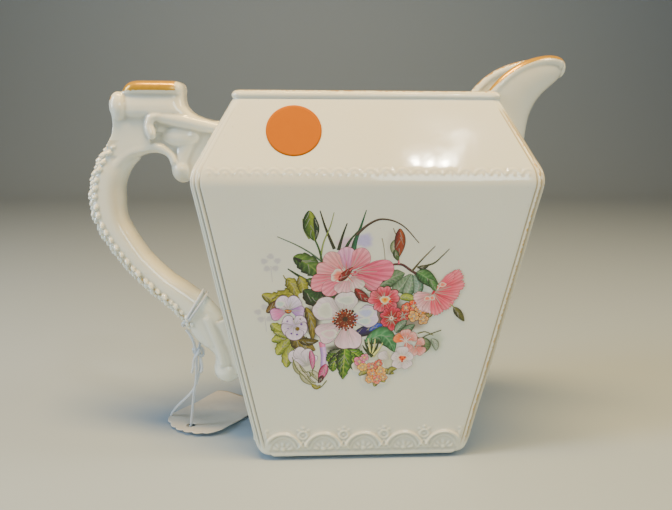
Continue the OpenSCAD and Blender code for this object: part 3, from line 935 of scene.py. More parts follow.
def paint_bindweed(p):
    """Bindweed with its curled calyx, stem and bud."""
    bind = dict(ink=(132, 132, 134), streak=4.0, line=0.2)
    for tip, spread in (
        ((-27.8, 45.6), 24), ((-25.2, 47.4), 24), ((-21.6, 47.0), 26), ((-18.8, 44.6), 26),
        ((-26.6, 42), 24),
    ):
        p.petal((-21.4, 40.2), tip, spread, (206, 208, 196), (232, 230, 232), (242, 240, 242), **bind)
    p.leaf([(-20.4, 46.6), (-19.7, 43), (-19.6, 38.8)], 2.0, (190, 96, 144), (226, 158, 192), (236, 190, 212))
    for spine, w in (
        ([(-26.6, 42.6), (-24.4, 38.6), (-20.6, 35.6)], 3.0),
        ([(-24.2, 38.4), (-22, 34.8), (-18.4, 32.4)], 2.8),
        ([(-21, 38.2), (-18.6, 36.6), (-16.6, 33.4)], 2.4),
    ):
        p.leaf(spine, w, (172, 180, 140), (232, 236, 214), (206, 212, 176))
    for spine in (
        [(-27.0, 44), (-25.6, 39.6), (-22.7, 36.0), (-19.6, 32.6), (-17, 31.2), (-14.4, 34.2)],
        [(-24.4, 40.6), (-22.8, 38.0), (-20.8, 37.8), (-20.4, 35.8)],
        [(-21.6, 36.2), (-20, 33.8), (-18.2, 33.6)], [(-18.8, 40.4), (-19.8, 37.8), (-19.2, 36.4)],
    ):
        p.stroke(spine, 0.35, 0.4, (106, 116, 78))
    p.leaf(
        [(-20.0, 32.6), (-18.2, 31.4), (-16.6, 32.2)], 1.5, (130, 134, 60), (176, 178, 90),
        (196, 196, 120),
    )
    p.stroke([(-16.2, 49.4), (-15.6, 44.4), (-15.8, 39.6)], 2.3, 2.0, (198, 178, 220))
    p.stroke([(-16.3, 50), (-16.0, 47.8)], 2.3, 2.2, (226, 150, 176))
    p.leaf(
        [(-14.6, 41.0), (-15.8, 37.6), (-17.2, 33.6)], 3.0, (176, 76, 120), (226, 158, 188),
        (236, 190, 210), line=0.2,
    )
    p.leaf([(-15.8, 36.4), (-16.6, 34.8), (-17.6, 33.2)], 1.6, (62, 28, 40), (104, 54, 66), (120, 70, 80))


def paint_mallow(p):
    """The mallow: ten petals, with a dark red stamen over a glow."""
    pink = dict(streak=14.0, ink=(150, 62, 92), line=0.1)
    for petal in (
        ((-7.4, 76.8), (-8.0, 85.4), 34, (198, 112, 144), (220, 172, 198), (230, 194, 210)),
        ((-6.4, 77), (-0.8, 84.4), 31, (204, 110, 132), (222, 152, 164), (232, 178, 184)),
        ((-8.4, 76.6), (-14.9, 82.8), 31, (222, 152, 156), (230, 178, 176), (234, 194, 190)),
        ((-8.8, 75.8), (-18.2, 77.4), 27, (222, 144, 154), (230, 168, 172), (234, 188, 188)),
        ((-6.2, 75.6), (4.6, 71.8), 22, (204, 102, 126), (218, 134, 152), (230, 164, 176)),
    ):
        p.petal(*petal, **pink)
    p.petal(
        (-5.6, 76.6), (9.6, 77.4), 25, (198, 92, 118), (216, 124, 146), (226, 148, 166), point=0.22,
        wave=0.04, **pink,
    )
    for petal in (
        ((-8.6, 75.2), (-20.0, 71.8), 22, (216, 110, 134), (228, 148, 162), (234, 170, 178)),
        ((-8.2, 74.6), (-15.6, 68.8), 26, (216, 118, 138), (228, 152, 166), (232, 172, 180)),
        ((-7.2, 74.8), (-9.4, 68.0), 38, (222, 142, 156), (236, 196, 200), (240, 218, 216)),
        ((-6.2, 75), (-2.6, 69.8), 36, (216, 150, 164), (236, 216, 212), (228, 230, 214)),
    ):
        p.petal(*petal, **pink)
    p.wash((-10.0, 75.2), 3.2, 2.4, (226, 104, 78), 0.8)
    p.leaf([(-10.4, 73.2), (-8.2, 75.5), (-5.4, 78.4)], 2.5, (92, 22, 20), (168, 58, 38), (116, 34, 24))
    for x, z in (
        (-12.6, 72.6), (-12.8, 75.4), (-10.8, 79), (-7.6, 81), (-3.2, 80.2), (-2.4, 76.4), (-5.2, 72.8)
    ):
        p.stroke([(-8.0 + (x + 8) * 0.3, 75.7 + (z - 75.7) * 0.3), (x, z)], 0.45, 0.12, (186, 74, 96), 0.9)


def paint_low_leaves(p):
    """Dark leaves and blue shadow below the dog rose."""
    p.leaf([(-4.8, 52.6), (0, 54.2), (4.6, 56.6)], 3.8, (38, 22, 70), (72, 44, 116), (60, 40, 100))
    p.leaf([(1.0, 54.0), (3.6, 55.8), (5.8, 56.2)], 2.2, (48, 72, 164), (104, 140, 208), (84, 112, 190))
    for spine, w in (
        ([(-9.5, 46.8), (-12.4, 44), (-14.6, 42.2)], 5.0),
        ([(-6.5, 46.4), (-3.0, 44.2), (-1.2, 42.6)], 5.0),
        ([(-9.4, 46), (-11.8, 41), (-12.2, 37.8)], 4.6), ([(-6.6, 46), (-4.4, 41), (-4.2, 38.0)], 4.6),
        ([(-7.8, 48), (-8.1, 42), (-8.5, 34.6)], 6.4),
    ):
        p.leaf(spine, w, (32, 68, 38), (112, 160, 66), (214, 226, 122), 6, 0.3)
    p.leaf(
        [(-0.6, 49.0), (5, 52.2), (8.2, 50.0), (10.4, 45.4)], 7.0, (46, 98, 66), (108, 168, 122),
        (160, 202, 160), 3, 0.1,
    )
    for x, z, c in (
        (-0.8, 50.6, 0), (0.6, 51, 1), (1.8, 51.2, 0), (3.2, 50.8, 1), (4.6, 50.4, 0), (6.0, 49.2, 1),
        (-1.4, 48.4, 0),
    ):
        p.stroke(
            [(2.4, 43.6), (0.7 * x + 0.7, 0.6 * z + 17.4), (x, z)], 1.3, 0.25,
            ((52, 72, 38), (206, 212, 150))[c],
        )


def paint_dog_rose(p):
    """The dog rose: five white petals round a ring of stamens."""
    rose = dict(ink=(112, 98, 96), streak=4.5, line=0.22)
    for petal in (
        ((-7.9, 59.5), (-7.4, 69.2), 36, (206, 210, 176), (228, 230, 222), (240, 240, 234), 0.07),
        ((-8.4, 58.8), (-18.6, 64.8), 33, (222, 214, 192), (234, 230, 226), (240, 238, 234), 0.05),
        ((-7.2, 58.6), (3.9, 60.2), 32, (214, 208, 214), (216, 220, 238), (236, 234, 242), 0.06),
        ((-8.4, 57.8), (-17.6, 51.4), 28, (222, 196, 196), (234, 216, 218), (240, 228, 228), 0.04),
        ((-7.8, 57.4), (-6.0, 46.8), 38, (222, 198, 190), (238, 218, 220), (244, 232, 232), 0.05),
    ):
        p.petal(*petal, **rose)
    for patch in (
        ((-15.0, 62), 2.6, 3, (206, 214, 196), 0.55),
        ((-0.5, 61), 3.2, 2.0, (186, 200, 236), 0.7),
        ((-0.9, 57.8), 2.6, 1.4, (170, 212, 214), 0.5),
        ((-7.6, 66.0), 3.2, 1.6, (196, 212, 200), 0.6),
        ((-13.4, 53), 2.8, 1.8, (222, 186, 200), 0.6),
        ((-7.9, 58.6), 3.4, 3.0, (196, 176, 96), 0.85),
    ):
        p.wash(*patch)
    for k, q in seeds((-7.9, 58.5), 64, 0.7, 3.9, 0.92):
        if k > 16:
            p.stroke(
                [(-7.9 + 0.25 * (q[0] + 7.9), 58.5 + 0.25 * (q[1] - 58.5)), q], 0.24, 0.34, (112, 60, 38)
            )
        p.dot(q, 0.38 + 0.12 * math.sin(k), ((92, 28, 26), (128, 48, 32), (66, 34, 26), (170, 96, 52))[k % 4])
    p.dot((-7.9, 58.7), 1.0, (70, 54, 34))


def paint_pansies(p):
    """Pansies."""
    pansy = dict(ink=(120, 100, 128), streak=6.0, line=0.2)
    for petal in (
        ((-28.2, 62.8), (-31.6, 67.0), 44, (226, 222, 216), (234, 230, 238), (240, 238, 244)),
        ((-28.0, 62.8), (-24.6, 66.9), 44, (224, 222, 220), (228, 228, 238), (238, 236, 244)),
        ((-28.6, 62.2), (-34.4, 60.4), 30, (200, 130, 180), (224, 156, 194), (228, 186, 214)),
        ((-27.6, 62.4), (-22.6, 61.4), 36, (166, 128, 196), (194, 166, 214), (222, 206, 232)),
    ):
        p.petal(*petal, **pansy)
    p.wash((-31, 64.8), 1.6, 1.2, (176, 214, 208), 0.6)
    p.leaf([(-29.4, 62.4), (-28.2, 61.9), (-27.0, 62.3)], 1.4, (120, 70, 30), (232, 176, 60), (240, 190, 80))
    for tip in ((-30.2, 58.6), (-22.2, 58.8), (-22.0, 54.0), (-30.0, 53.6), (-26.0, 51.0)):
        p.petal((-26.2, 56.6), tip, 52, (214, 206, 226), (230, 224, 236), (240, 236, 242), **pansy)
    for x, z, r, c in (
        (-25.0, 55.2, 0.8, (120, 108, 44)), (-27.2, 53.4, 0.4, (120, 92, 152)),
        (-25.2, 53.0, 0.4, (120, 92, 152)), (-23.6, 57.0, 0.45, (132, 108, 164)),
        (-28.6, 58.2, 0.35, (140, 120, 160)), (-26.4, 59, 0.3, (120, 100, 140)),
        (-28.4, 55.4, 0.3, (140, 120, 160)), (-24.0, 59, 0.3, (90, 80, 70)),
    ):
        p.dot((x, z), r, c)


def paint_primulas(p):
    """Primulas and the small florets beside them."""
    p.leaf([(-4.6, 70.4), (-2, 67.4), (1.0, 65.2)], 3.2, (84, 22, 34), (156, 64, 68), (180, 90, 90))
    prim = dict(streak=13.0, line=0.22, ink=(86, 20, 36))
    for flower in (
        ((6.0, 66.0), 5.4, 5, 94, 36, (170, 50, 56), (196, 84, 104), (222, 148, 156)),
        ((8.8, 58.8), 4.4, 5, 70, 36, (112, 16, 40), (168, 44, 70), (206, 108, 126)),
        ((13.0, 59.8), 2.6, 5, 20, 36, (130, 26, 40), (180, 56, 70), (214, 116, 116)),
    ):
        p.bloom(*flower, notch=0.1, **prim)
    p.wash((6.2, 66.0), 1.8, 1.5, (246, 196, 84), 1.0)
    for x, z, r, c in (
        (6.2, 66.1, 0.5, (214, 130, 50)), (8.0, 65.4, 0.55, (226, 80, 50)),
        (5.0, 64.6, 0.4, (190, 60, 50)), (8.8, 58.9, 0.8, (244, 226, 206)),
        (8.8, 58.9, 0.35, (180, 120, 60)),
    ):
        p.dot((x, z), r, c)
    p.leaf([(11.6, 66.6), (14.2, 67), (18.8, 65.2)], 2.8, (128, 152, 70), (192, 206, 120), (212, 222, 150))
    p.leaf([(19.4, 60), (22, 59.8), (24, 61)], 1.8, (116, 112, 60), (176, 168, 100), (196, 190, 120))
    floret = dict(streak=9.0, line=0.2, ink=(96, 52, 34))
    for x, z, r, body, edge in (
        (16.6, 63.6, 2.4, (226, 100, 58), (240, 156, 110)),
        (19.2, 61.6, 2.1, (226, 160, 84), (240, 200, 140)),
        (16.8, 59.6, 2.0, (222, 172, 96), (240, 212, 150)),
        (20.4, 58.2, 1.9, (206, 160, 90), (230, 204, 150)),
        (13.9, 63.0, 1.7, (214, 90, 66), (232, 140, 110)),
    ):
        p.bloom((x, z), r, 5, 40 + 13 * x, 36, (150, 66, 40), body, edge, **floret)
        p.dot((x, z), 0.45, (246, 214, 130))


def paint_carnation(p):
    """The carnation: fringed petals in a fan, and its leaves."""
    p.leaf([(17.0, 76.4), (20.5, 74.4), (25.6, 69.8)], 5.0, (44, 90, 54), (112, 156, 102), (156, 190, 140))
    frill = dict(fringe=0.07, streak=15.0, ink=(150, 56, 80), line=0.1, wave=0.02)
    for tip, spread in (((17.0, 66.2), 27), ((18.8, 62.6), 27), ((22.0, 61.2), 26)):
        p.petal((23.4, 68.2), tip, spread, (204, 104, 116), (234, 186, 186), (242, 216, 212), **frill)
    for tip, spread in (
        ((25.8, 60.8), 24), ((29.8, 63.4), 22), ((32.2, 67.6), 19), ((33.6, 71.8), 17),
        ((32.8, 75.6), 15), ((30.0, 75.2), 12),
    ):
        p.petal((23.0, 68.8), tip, spread, (198, 82, 104), (224, 120, 136), (234, 158, 164), **frill)
    for x, z in ((24.4, 70.6), (26.6, 71.6), (23.0, 66.6), (21.4, 66.4)):
        p.wash((x, z), 1.2, 0.9, (236, 112, 72), 0.8)
    p.leaf([(21.6, 73.8), (23.2, 71.6), (24.2, 69.2)], 2.6, (58, 104, 62), (126, 168, 112), (160, 190, 140))
    p.stroke([(29.6, 64.2), (31, 63.2), (32, 62.2)], 0.3, 0.5, (150, 158, 100))
    p.leaf([(31.2, 62.9), (33.2, 60.4), (35.4, 57.4)], 2.4, (58, 66, 38), (126, 130, 74), (140, 144, 90))


def paint_peach_flowers(p):
    """Green sprigs, the peach flowers and a white one, low on the right."""
    p.leaf([(10.4, 53.2), (12.3, 56), (14.4, 58.2)], 3.2, (58, 88, 66), (168, 196, 168), (208, 220, 200))
    p.leaf([(12.2, 51.8), (14.8, 54.4), (17.4, 56.4)], 3.0, (54, 84, 62), (150, 184, 152), (196, 214, 190))
    p.stroke([(15.6, 53.2), (19.5, 50.8), (22, 52), (27.2, 54)], 0.6, 0.35, (92, 100, 74))
    p.stroke([(18.6, 52.8), (21.4, 53.4), (24.4, 52.0)], 0.5, 0.3, (110, 116, 84))
    p.leaf([(20.4, 51.0), (21.9, 48.2), (21.6, 45.0)], 3.4, (56, 80, 54), (130, 154, 116), (160, 180, 146))
    p.leaf([(23.8, 50.6), (25.4, 48.4), (25.8, 45.8)], 2.4, (140, 164, 142), (190, 206, 184), (206, 216, 200))
    peach = dict(streak=7.0, line=0.14, ink=(168, 96, 84))
    for base, tip, body, edge in (
        ((14.4, 49.8), (10.2, 51.6), (232, 138, 84), (240, 176, 130)),
        ((14.4, 49.8), (14.2, 54.4), (226, 160, 146), (240, 206, 196)),
        ((14.4, 49.8), (18.2, 52.2), (228, 164, 150), (240, 208, 198)),
        ((14.4, 49.8), (15.8, 45.8), (226, 152, 140), (240, 200, 192)),
        ((18.0, 47.8), (21.0, 50.2), (228, 164, 152), (240, 210, 200)),
        ((18.0, 47.8), (21.2, 44.8), (226, 156, 146), (238, 200, 192)),
        ((18.0, 47.8), (17.0, 44.0), (230, 172, 160), (242, 214, 206)),
    ):
        p.petal(base, tip, 34, (198, 96, 84), body, edge, **peach)
    for q in around((14.4, 49.8), 2.4, range(0, 360, 40)):
        p.stroke([(14.4, 49.8), q], 0.3, 0.15, (250, 226, 214))
    p.bloom(
        (13.4, 42.8), 4.4, 5, 90, 36, (228, 214, 190), (236, 234, 226), (244, 242, 238),
        ink=(178, 176, 170), streak=3.0, line=0.16,
    )
    p.wash((13.4, 42.9), 1.9, 1.5, (232, 128, 46), 1.0)
    for x, z in ((12.6, 43.2), (13.5, 42.4), (14.4, 43.3), (13.4, 41.6)):
        p.dot((x, z), 0.4, (170, 70, 30))
    p.petal(
        (8.6, 42.4), (5.0, 45.0), 36, (214, 214, 190), (232, 232, 222), (240, 240, 234),
        ink=(190, 190, 180), streak=3.0,
    )


def paint_florets(p):
    """The low cluster of small bright florets."""
    p.wash((3.4, 36.8), 5.2, 5.4, (112, 92, 54), 0.85)
    p.wash((-2.0, 40.0), 3.0, 3.0, (150, 110, 90), 0.6)
    for spine in (
        [(-2.6, 36.2), (-0.4, 37.6), (1.6, 38)], [(6.6, 38.6), (8.4, 37.4), (10.6, 36.6)],
        [(8.4, 36.4), (9.6, 38.4), (11.6, 38.6)], [(0.6, 33.6), (2.2, 34.8), (3.6, 35.6)],
        [(7.4, 33.2), (6.0, 34.6), (4.8, 36)], [(3.4, 31.4), (3.8, 33.4), (3.6, 35.6)],
    ):
        p.leaf(spine, 1.9, (112, 122, 58), (184, 190, 110), (206, 208, 140))
    for x, z, r, body, edge in (
        (-2.4, 41.8, 2.0, (230, 120, 156), (244, 180, 200)),
        (-0.6, 43.4, 1.5, (226, 140, 160), (240, 190, 200)),
        (-1.2, 39.6, 1.7, (236, 190, 90), (246, 222, 150)),
        (2.2, 39.6, 1.8, (214, 120, 96), (236, 180, 150)),
        (4.6, 40.8, 1.6, (196, 96, 80), (226, 150, 130)),
        (2.6, 36.8, 2.0, (232, 150, 76), (244, 200, 130)),
        (5.6, 37.8, 1.9, (236, 182, 92), (246, 220, 150)),
        (4.2, 34.4, 1.8, (230, 130, 110), (244, 186, 160)),
        (1.4, 34.4, 1.5, (230, 170, 90), (244, 214, 150)),
        (6.6, 35.2, 1.4, (214, 156, 90), (236, 206, 150)),
    ):
        p.bloom((x, z), r, 5, 31 * x, 37, (150, 70, 50), body, edge, streak=5.0, line=0.14, ink=(110, 58, 44))
        p.dot((x, z), 0.38, (250, 226, 130))


def paint_front():
    """The spray of summer flowers on the front, from its lowest layer to its highest."""
    p = Painter(4)
    for paint in (
        paint_washes, paint_grasses, paint_leaves, paint_bindweed, paint_mallow, paint_low_leaves,
        paint_dog_rose, paint_pansies, paint_primulas, paint_carnation, paint_peach_flowers, paint_florets,
    ):
        paint(p)
    obj = p.finish("front_spray")
    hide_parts("front_transfer")
    return obj


def paint_back():
    """A smaller spray on the back: one mallow, one dog rose and a few leaves."""
    p = Painter(9)
    dark, light, rib = (42, 76, 46), (128, 158, 84), (180, 198, 124)
    for spine in (
        [(-14, 78), (-9, 72), (-4, 66)], [(-4, 84), (-3, 76), (-1, 68)], [(6, 82), (4, 75), (1, 68)]
    ):
        p.stroke(spine, 0.3, 1.1, (70, 92, 60))
    for spine, w in (
        ([(-19, 66), (-12, 66), (-6, 62)], 6), ([(-16, 54), (-10, 56), (-4, 60)], 6),
        ([(-4, 46), (-3, 52), (0, 58)], 6), ([(14, 50), (9, 54), (4, 58)], 6),
        ([(17, 66), (11, 65), (5, 62)], 5),
    ):
        p.leaf(spine, w, dark, light, rib, 5, 0.25)
    for tip in around((-4, 66), 7.6, (100, 172, 244, 316, 28)):
        p.petal(
            (-4, 66), tip, 34, (198, 92, 118), (222, 144, 160), (232, 176, 184), streak=9.0,
            ink=(176, 96, 116),
        )
    p.leaf([(-5.6, 64.8), (-4, 66), (-2.4, 67.4)], 1.8, (92, 22, 20), (168, 58, 38), (116, 34, 24))
    p.bloom(
        (5, 58), 6.4, 5, 80, 35, (214, 210, 190), (232, 228, 226), (242, 238, 236), notch=0.06,
        ink=(112, 98, 96), streak=4.5,
    )
    p.wash((5, 58), 2.0, 1.8, (196, 176, 96), 0.85)
    for k, q in seeds((5, 58), 22, 0.6, 2.2):
        p.dot(q, 0.3, ((112, 36, 30), (150, 62, 36), (188, 112, 60))[k % 3])
    for x, z, r in ((-7, 52, 2.4), (-2.4, 50, 1.9), (10, 68, 2.2)):
        p.bloom(
            (x, z), r, 5, 20 * x, 36, (150, 60, 50), (222, 120, 110), (240, 180, 160), streak=5.0,
            ink=(120, 60, 50),
        )
        p.dot((x, z), 0.45, (246, 214, 110))
    obj = p.finish("back_spray", mirror=True)
    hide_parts("back_transfer")
    return obj


# ------------------------------------------------------------------ the spout

# Sections from the root to the tip: underside (x, z), wing's edge (x, z), half width.
SPOUT = [
    (58.6, 111.5, 43.6, 136.4, 14.2), (59.7, 118.0, 45.0, 138.6, 14.4), (60.2, 124.6, 47.2, 141.2, 14.5),
    (61.0, 129.8, 50.2, 143.9, 14.2), (62.8, 134.2, 54.2, 146.5, 13.4), (65.4, 137.7, 58.8, 148.4, 11.9),
    (68.4, 140.4, 63.4, 149.5, 9.8), (71.0, 142.6, 67.4, 149.9, 7.4), (72.8, 144.6, 70.6, 149.6, 4.9),
    (73.6, 146.6, 72.8, 148.8, 2.6),
]


def build_spout():
    """The beak spout as one skin with its rolled lip. Returns it and the lip's middle line."""
    u = through(SPOUT, 7)
    v = np.radians(np.linspace(-90, 90, 45))
    k = (1 - np.cos(v)) ** 1.25
    side = np.sign(v) * np.abs(np.sin(v)) ** 0.92
    x = u[:, 0:1] + (u[:, 2:3] - u[:, 0:1]) * k
    z = u[:, 1:2] + (u[:, 3:4] - u[:, 1:2]) * k
    y = u[:, 4:5] * side
    outer = np.stack([x, y, z], -1)
    normal = np.cross(np.gradient(outer, axis=0), np.gradient(outer, axis=1))
    normal /= np.maximum(np.linalg.norm(normal, axis=-1), 1e-9)[..., None]
    if normal[len(u) // 3, len(v) // 2, 0] > 0:
        normal = -normal
    thick = np.interp(np.arange(len(u)), [0, len(u) * 0.5, len(u) - 1], [3.2, 2.8, 2.0])[:, None, None]
    inner = outer + normal * thick
    rows, columns = outer.shape[:2]
    points = np.vstack([outer.reshape(-1, 3), inner.reshape(-1, 3)])
    n = rows * columns
    faces = grid_faces(rows, columns, False)
    faces += [[i + n for i in f][::-1] for f in faces]
    for i in range(rows - 1):
        for j in (0, columns - 1):
            a, b = i * columns + j, (i + 1) * columns + j
            faces.append([a, b, b + n, a + n])
    for i in (0, rows - 1):
        for j in range(columns - 1):
            a, b = i * columns + j, i * columns + j + 1
            faces.append([a, b, b + n, a + n])
    # A rolled edge along both wings and round the tip, which ends in a thick nose.
    near, far = (outer + inner)[:, 0] / 2, (outer + inner)[::-1, -1] / 2
    lip = np.vstack([near[:-2], [(74.0, 0, 148.0)], far[2:]])
    lip = through(lip[::4], 4)
    size = 1.8 + 0.45 * np.exp(-((np.linspace(-1, 1, len(lip)) / 0.25) ** 2))
    parts = [(points, faces), tube(lip, size, 14), ball((72.7, 0, 147.6), (2.4, 3.4, 3.6))]
    obj = make("spout", *gather(parts), GLAZE)
    melt(obj, 0.34, 7)
    # Painted shade: the hollows of the skin are darkened to grey.
    tone(obj.data, line=0.4 * hollows(obj))
    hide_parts("spout")
    return obj, lip


# ----------------------------------------------------------------- the handle

# The grip's middle line: three arcs, each (centre x, centre z, radius, first and last angle).
GRIP_ARCS = [(-72.2, 100.0, 24.0, 128, 210), (-8.98, 136.5, 97.0, 210, 228), (-114.03, 19.82, 60.0, 48, 22)]
# How far the grip reaches outwards and inwards from that line, at heights along it.
GRIP_REACH = [
    (119, 4.2, 6.4), (106, 4.5, 6.7), (99, 4.9, 7.0), (88, 5.3, 5.2), (76, 5.8, 4.0), (66, 5.3, 4.4),
    (57, 4.9, 6.8), (47, 4.6, 8.4), (42, 3.6, 8.4),
]

# Half its depth, and how square its section is: 2 is round.
GRIP_DEPTH, GRIP_POWER = 6.2, 2.8

# Rows of scales: the angle round the grip, the size, and the shift along it in pitches.
SCALE_PITCH = 3.1
SCALE_ROWS = [
    (0, 1.0, 0), (20, 1.0, 0.5), (-20, 1.0, 0.5), (40, 0.95, 0), (-40, 0.95, 0), (58, 0.8, 0.5),
    (-58, 0.8, 0.5),
]


def grip_line():
    """Points along the grip's middle and the direction that is outward there."""
    line, out = [], []
    for k, (cx, cz, r, a, b) in enumerate(GRIP_ARCS):
        count = max(8, int(r * math.radians(abs(b - a)) / 0.7))
        for t in np.radians(np.linspace(a, b, count, endpoint=k == 2)):
            line.append((cx + r * math.cos(t), 0, cz + r * math.sin(t)))
            sign = -1 if k == 2 else 1
            out.append((sign * math.cos(t), 0, sign * math.sin(t)))
    return np.array(line), np.array(out)


def sweep(line, out, reach, depth, power=3.0, count=44, inward=None):
    """A bar along a line in the handle's plane. reach and depth are its half sizes, and inward
    its reach on the inner side if that is different."""
    n = len(line)
    c, s = squircle(count, power)
    inward = reach if inward is None else inward
    reach, inward, depth = (
        np.broadcast_to(np.asarray(v, float), (n,))[:, None] for v in (reach, inward, depth)
    )
    p = line[:, None] + out[:, None] * (np.where(c > 0, reach, inward) * c)[..., None]
    p = p + np.array([0.0, 1.0, 0.0]) * (depth * s)[..., None]
    return p.reshape(-1, 3), closed_faces(n, count)


def bar(points, depth, power=3.0):
    """A bar through points (x, z, half thickness)."""
    q = through(points, 8)
    line = np.column_stack([q[:, 0], 0 * q[:, 0], q[:, 1]])
    along = np.gradient(line, axis=0)
    along /= np.linalg.norm(along, axis=1)[:, None]
    out = np.stack([-along[:, 2], 0 * along[:, 1], along[:, 0]], 1)
    return sweep(line, out, q[:, 2], depth, power)


def loft(sections, power=5.0, count=56):
    """A block of rounded level sections, each (height, lowest x, highest x, half depth)."""
    c, s = squircle(count, power)
    p = [
        np.column_stack([(a + b) / 2 + (b - a) / 2 * c, d * s, np.full(count, z)])
        for z, a, b, d in sections
    ]
    return np.vstack(p), closed_faces(len(sections), count)


def thumb_block():
    """The block under the thumb: a cushion over a cove, flaring into the shoulder at its right,
    with three beads on its left end."""
    block = loft(
        [
            (124.0, -90.4, -50, 5.4), (126.4, -90.2, -52.0, 5.3), (127.8, -89.6, -55.4, 5.5),
            (128.8, -89.0, -58.6, 5.9), (129.8, -88.6, -61.2, 6.9), (131.0, -88.4, -63.2, 7.5),
            (133.2, -88.2, -65.0, 7.5), (135.2, -88.0, -65.4, 7.2), (136.6, -87.6, -65.4, 6.8),
            (137.4, -87.2, -65.4, 6.9), (138.0, -86.9, -65.3, 7.9), (139.2, -86.4, -65.3, 8.0),
            (140.4, -85.4, -65.6, 7.7), (141.3, -84.2, -66.4, 6.7), (141.8, -82.6, -68.0, 4.8),
        ]
    )
    return [block] + [ball((-88.2, y, 132.9), (3.5, 3.2, 5.2), 14, 18) for y in (-4.9, 0, 4.9)]


def bracket():
    """The neck under the block, the web of the bracket, and the scroll along its lower edge."""
    neck = [
        (-91.0, 130), (-90.8, 126), (-91.5, 122.8), (-93.4, 119.2), (-92.6, 115.4), (-87.6, 114.8),
        (-82, 116.4), (-78.4, 117.2), (-76, 130),
    ]
    web = [
        (-84, 130), (-82, 116.4), (-78.4, 117.2), (-75, 117.0), (-72, 116), (-69.4, 111), (-65.6, 106.6),
        (-56, 105.0), (-44, 112), (-44, 127.6), (-56, 127.9),
    ]
    scroll = [
        (-93.4, 108.0, 2.6), (-90.4, 112.6, 3.4), (-86.6, 116.0, 3.2), (-82.6, 117.8, 2.7),
        (-78.2, 118.5, 2.4), (-74.0, 118.0, 2.3), (-70.9, 115.8, 2.0), (-69.4, 112.6, 2.2),
    ]
    return [
        slab(neck, -5.8, 5.8),
        slab(web, -4.5, 4.5),
        bar(scroll, 5.9, 2.4),
        ball((-67.4, 0, 110.4), (4.2, 6.3, 5.3), 20, 28),
        bar([(-67.2, 109.8, 4.1), (-66.8, 114.6, 4.1), (-64.8, 120.6, 5.2)], 5.6, 2.0),
    ]


def flank(side):
    """What stands on one flank of the handle (side is -1 or 1): the leaf along the bracket with
    its curl, two swellings, and the rib down the terminal."""
    leaf = [(-76.2, 129.4, 1.8), (-72.5, 129.1, 2.4), (-66, 127.9, 2.6), (-60, 126.6, 2.4), (-51, 124.8, 2.0)]
    curl = [
        (-73.4, 129.6, 1.3), (-76.4, 129.0, 1.6), (-77.5, 126.8, 1.6), (-77.3, 124.4, 1.9),
        (-76.8, 122.4, 1.5), (-76.6, 121.2, 0.7),
    ]
    rib = [(-60.4, 53.6, 1.5), (-57.8, 46.4, 1.5), (-55.6, 40, 1.5), (-54.6, 34, 1.5)]
    return [
        flank_tube(leaf, 5.3 * side, 14),
        flank_tube(curl, 6.5 * side, 12),
        ball((-76.9, 6.8 * side, 123.4), (1.7, 1.6, 2.4), 12, 14),
        ball((-67.0, 4.5 * side, 122.4), (6.6, 2.2, 3.7), 18, 26),
        flank_tube(rib, 5.3 * side, 10),
    ]


def flank_tube(points, y, sides):
    """A tube at depth y through points (x, z, radius)."""
    q = through(points, 8)
    return tube([(x, y, z) for x, z, r in q], q[:, 2], sides)


def terminal():
    """The lower end of the grip, which spreads down the body's end wall to a knob."""
    outer = [
        (-62.0, 52.0, 6.6), (-60.6, 48.0, 6.3), (-58.2, 44.6, 5.6), (-55.6, 41.0, 4.4),
        (-54.2, 37.4, 3.9), (-53.8, 33.6, 4.3), (-53.4, 30.4, 5.0),
    ]
    inner = [(-54.6, 52.2, 5.4), (-52.0, 46, 5.2), (-49.6, 38, 4.4), (-48.6, 30, 4.0)]
    return [bar(outer, 6.1, 2.6), bar(inner, 6.0, 2.6), ball((-53.1, 0, 30.7), (5.8, 6.9, 5.7), 18, 26)]


def scales(line, out, reach, length):
    """Overlapping scales in rows along the outer third of the grip, each a tilted lens with a
    bead at its tip."""
    parts = []
    c, s = squircle(360, GRIP_POWER)
    tilt = math.radians(34)
    for row, (angle, size, shift) in enumerate(SCALE_ROWS):
        k = math.radians(angle)
        for at in np.arange(0.8 + shift * SCALE_PITCH, length[-1] - 12, SCALE_PITCH):
            i = int(np.searchsorted(length, at))
            if i >= len(line) - 1:
                continue
            t = (line[i + 1] - line[i]) / np.linalg.norm(line[i + 1] - line[i])
            normal = out[i] * math.cos(k) + np.array([0, math.sin(k), 0])
            surface = line[i] + out[i] * reach[i] * c[angle % 360]
            surface = surface + np.array([0, GRIP_DEPTH, 0]) * s[angle % 360]
            axis = t * math.cos(tilt) + normal * math.sin(tilt)
            face = normal * math.cos(tilt) - t * math.sin(tilt)
            turn = np.stack([axis, np.cross(t, normal), face], 1)
            grow = size * (1 + 0.13 * math.sin(5.1 * at + row) + 0.08 * math.sin(2.2 * at + 2 * row))
            grow = grow * (0.72 + 0.28 * ramp(at, 0, 6))
            middle = surface - normal * 0.1 + t * 0.25 * math.sin(3 * at)
            parts.append(ball(middle, (2.0 * grow, 1.3 * grow, 1.0 * grow), 7, 10, turn))
            parts.append(ball(middle + axis * 1.35 * grow, (0.85 * grow, 0.9 * grow, 0.75 * grow), 6, 8))
    return parts


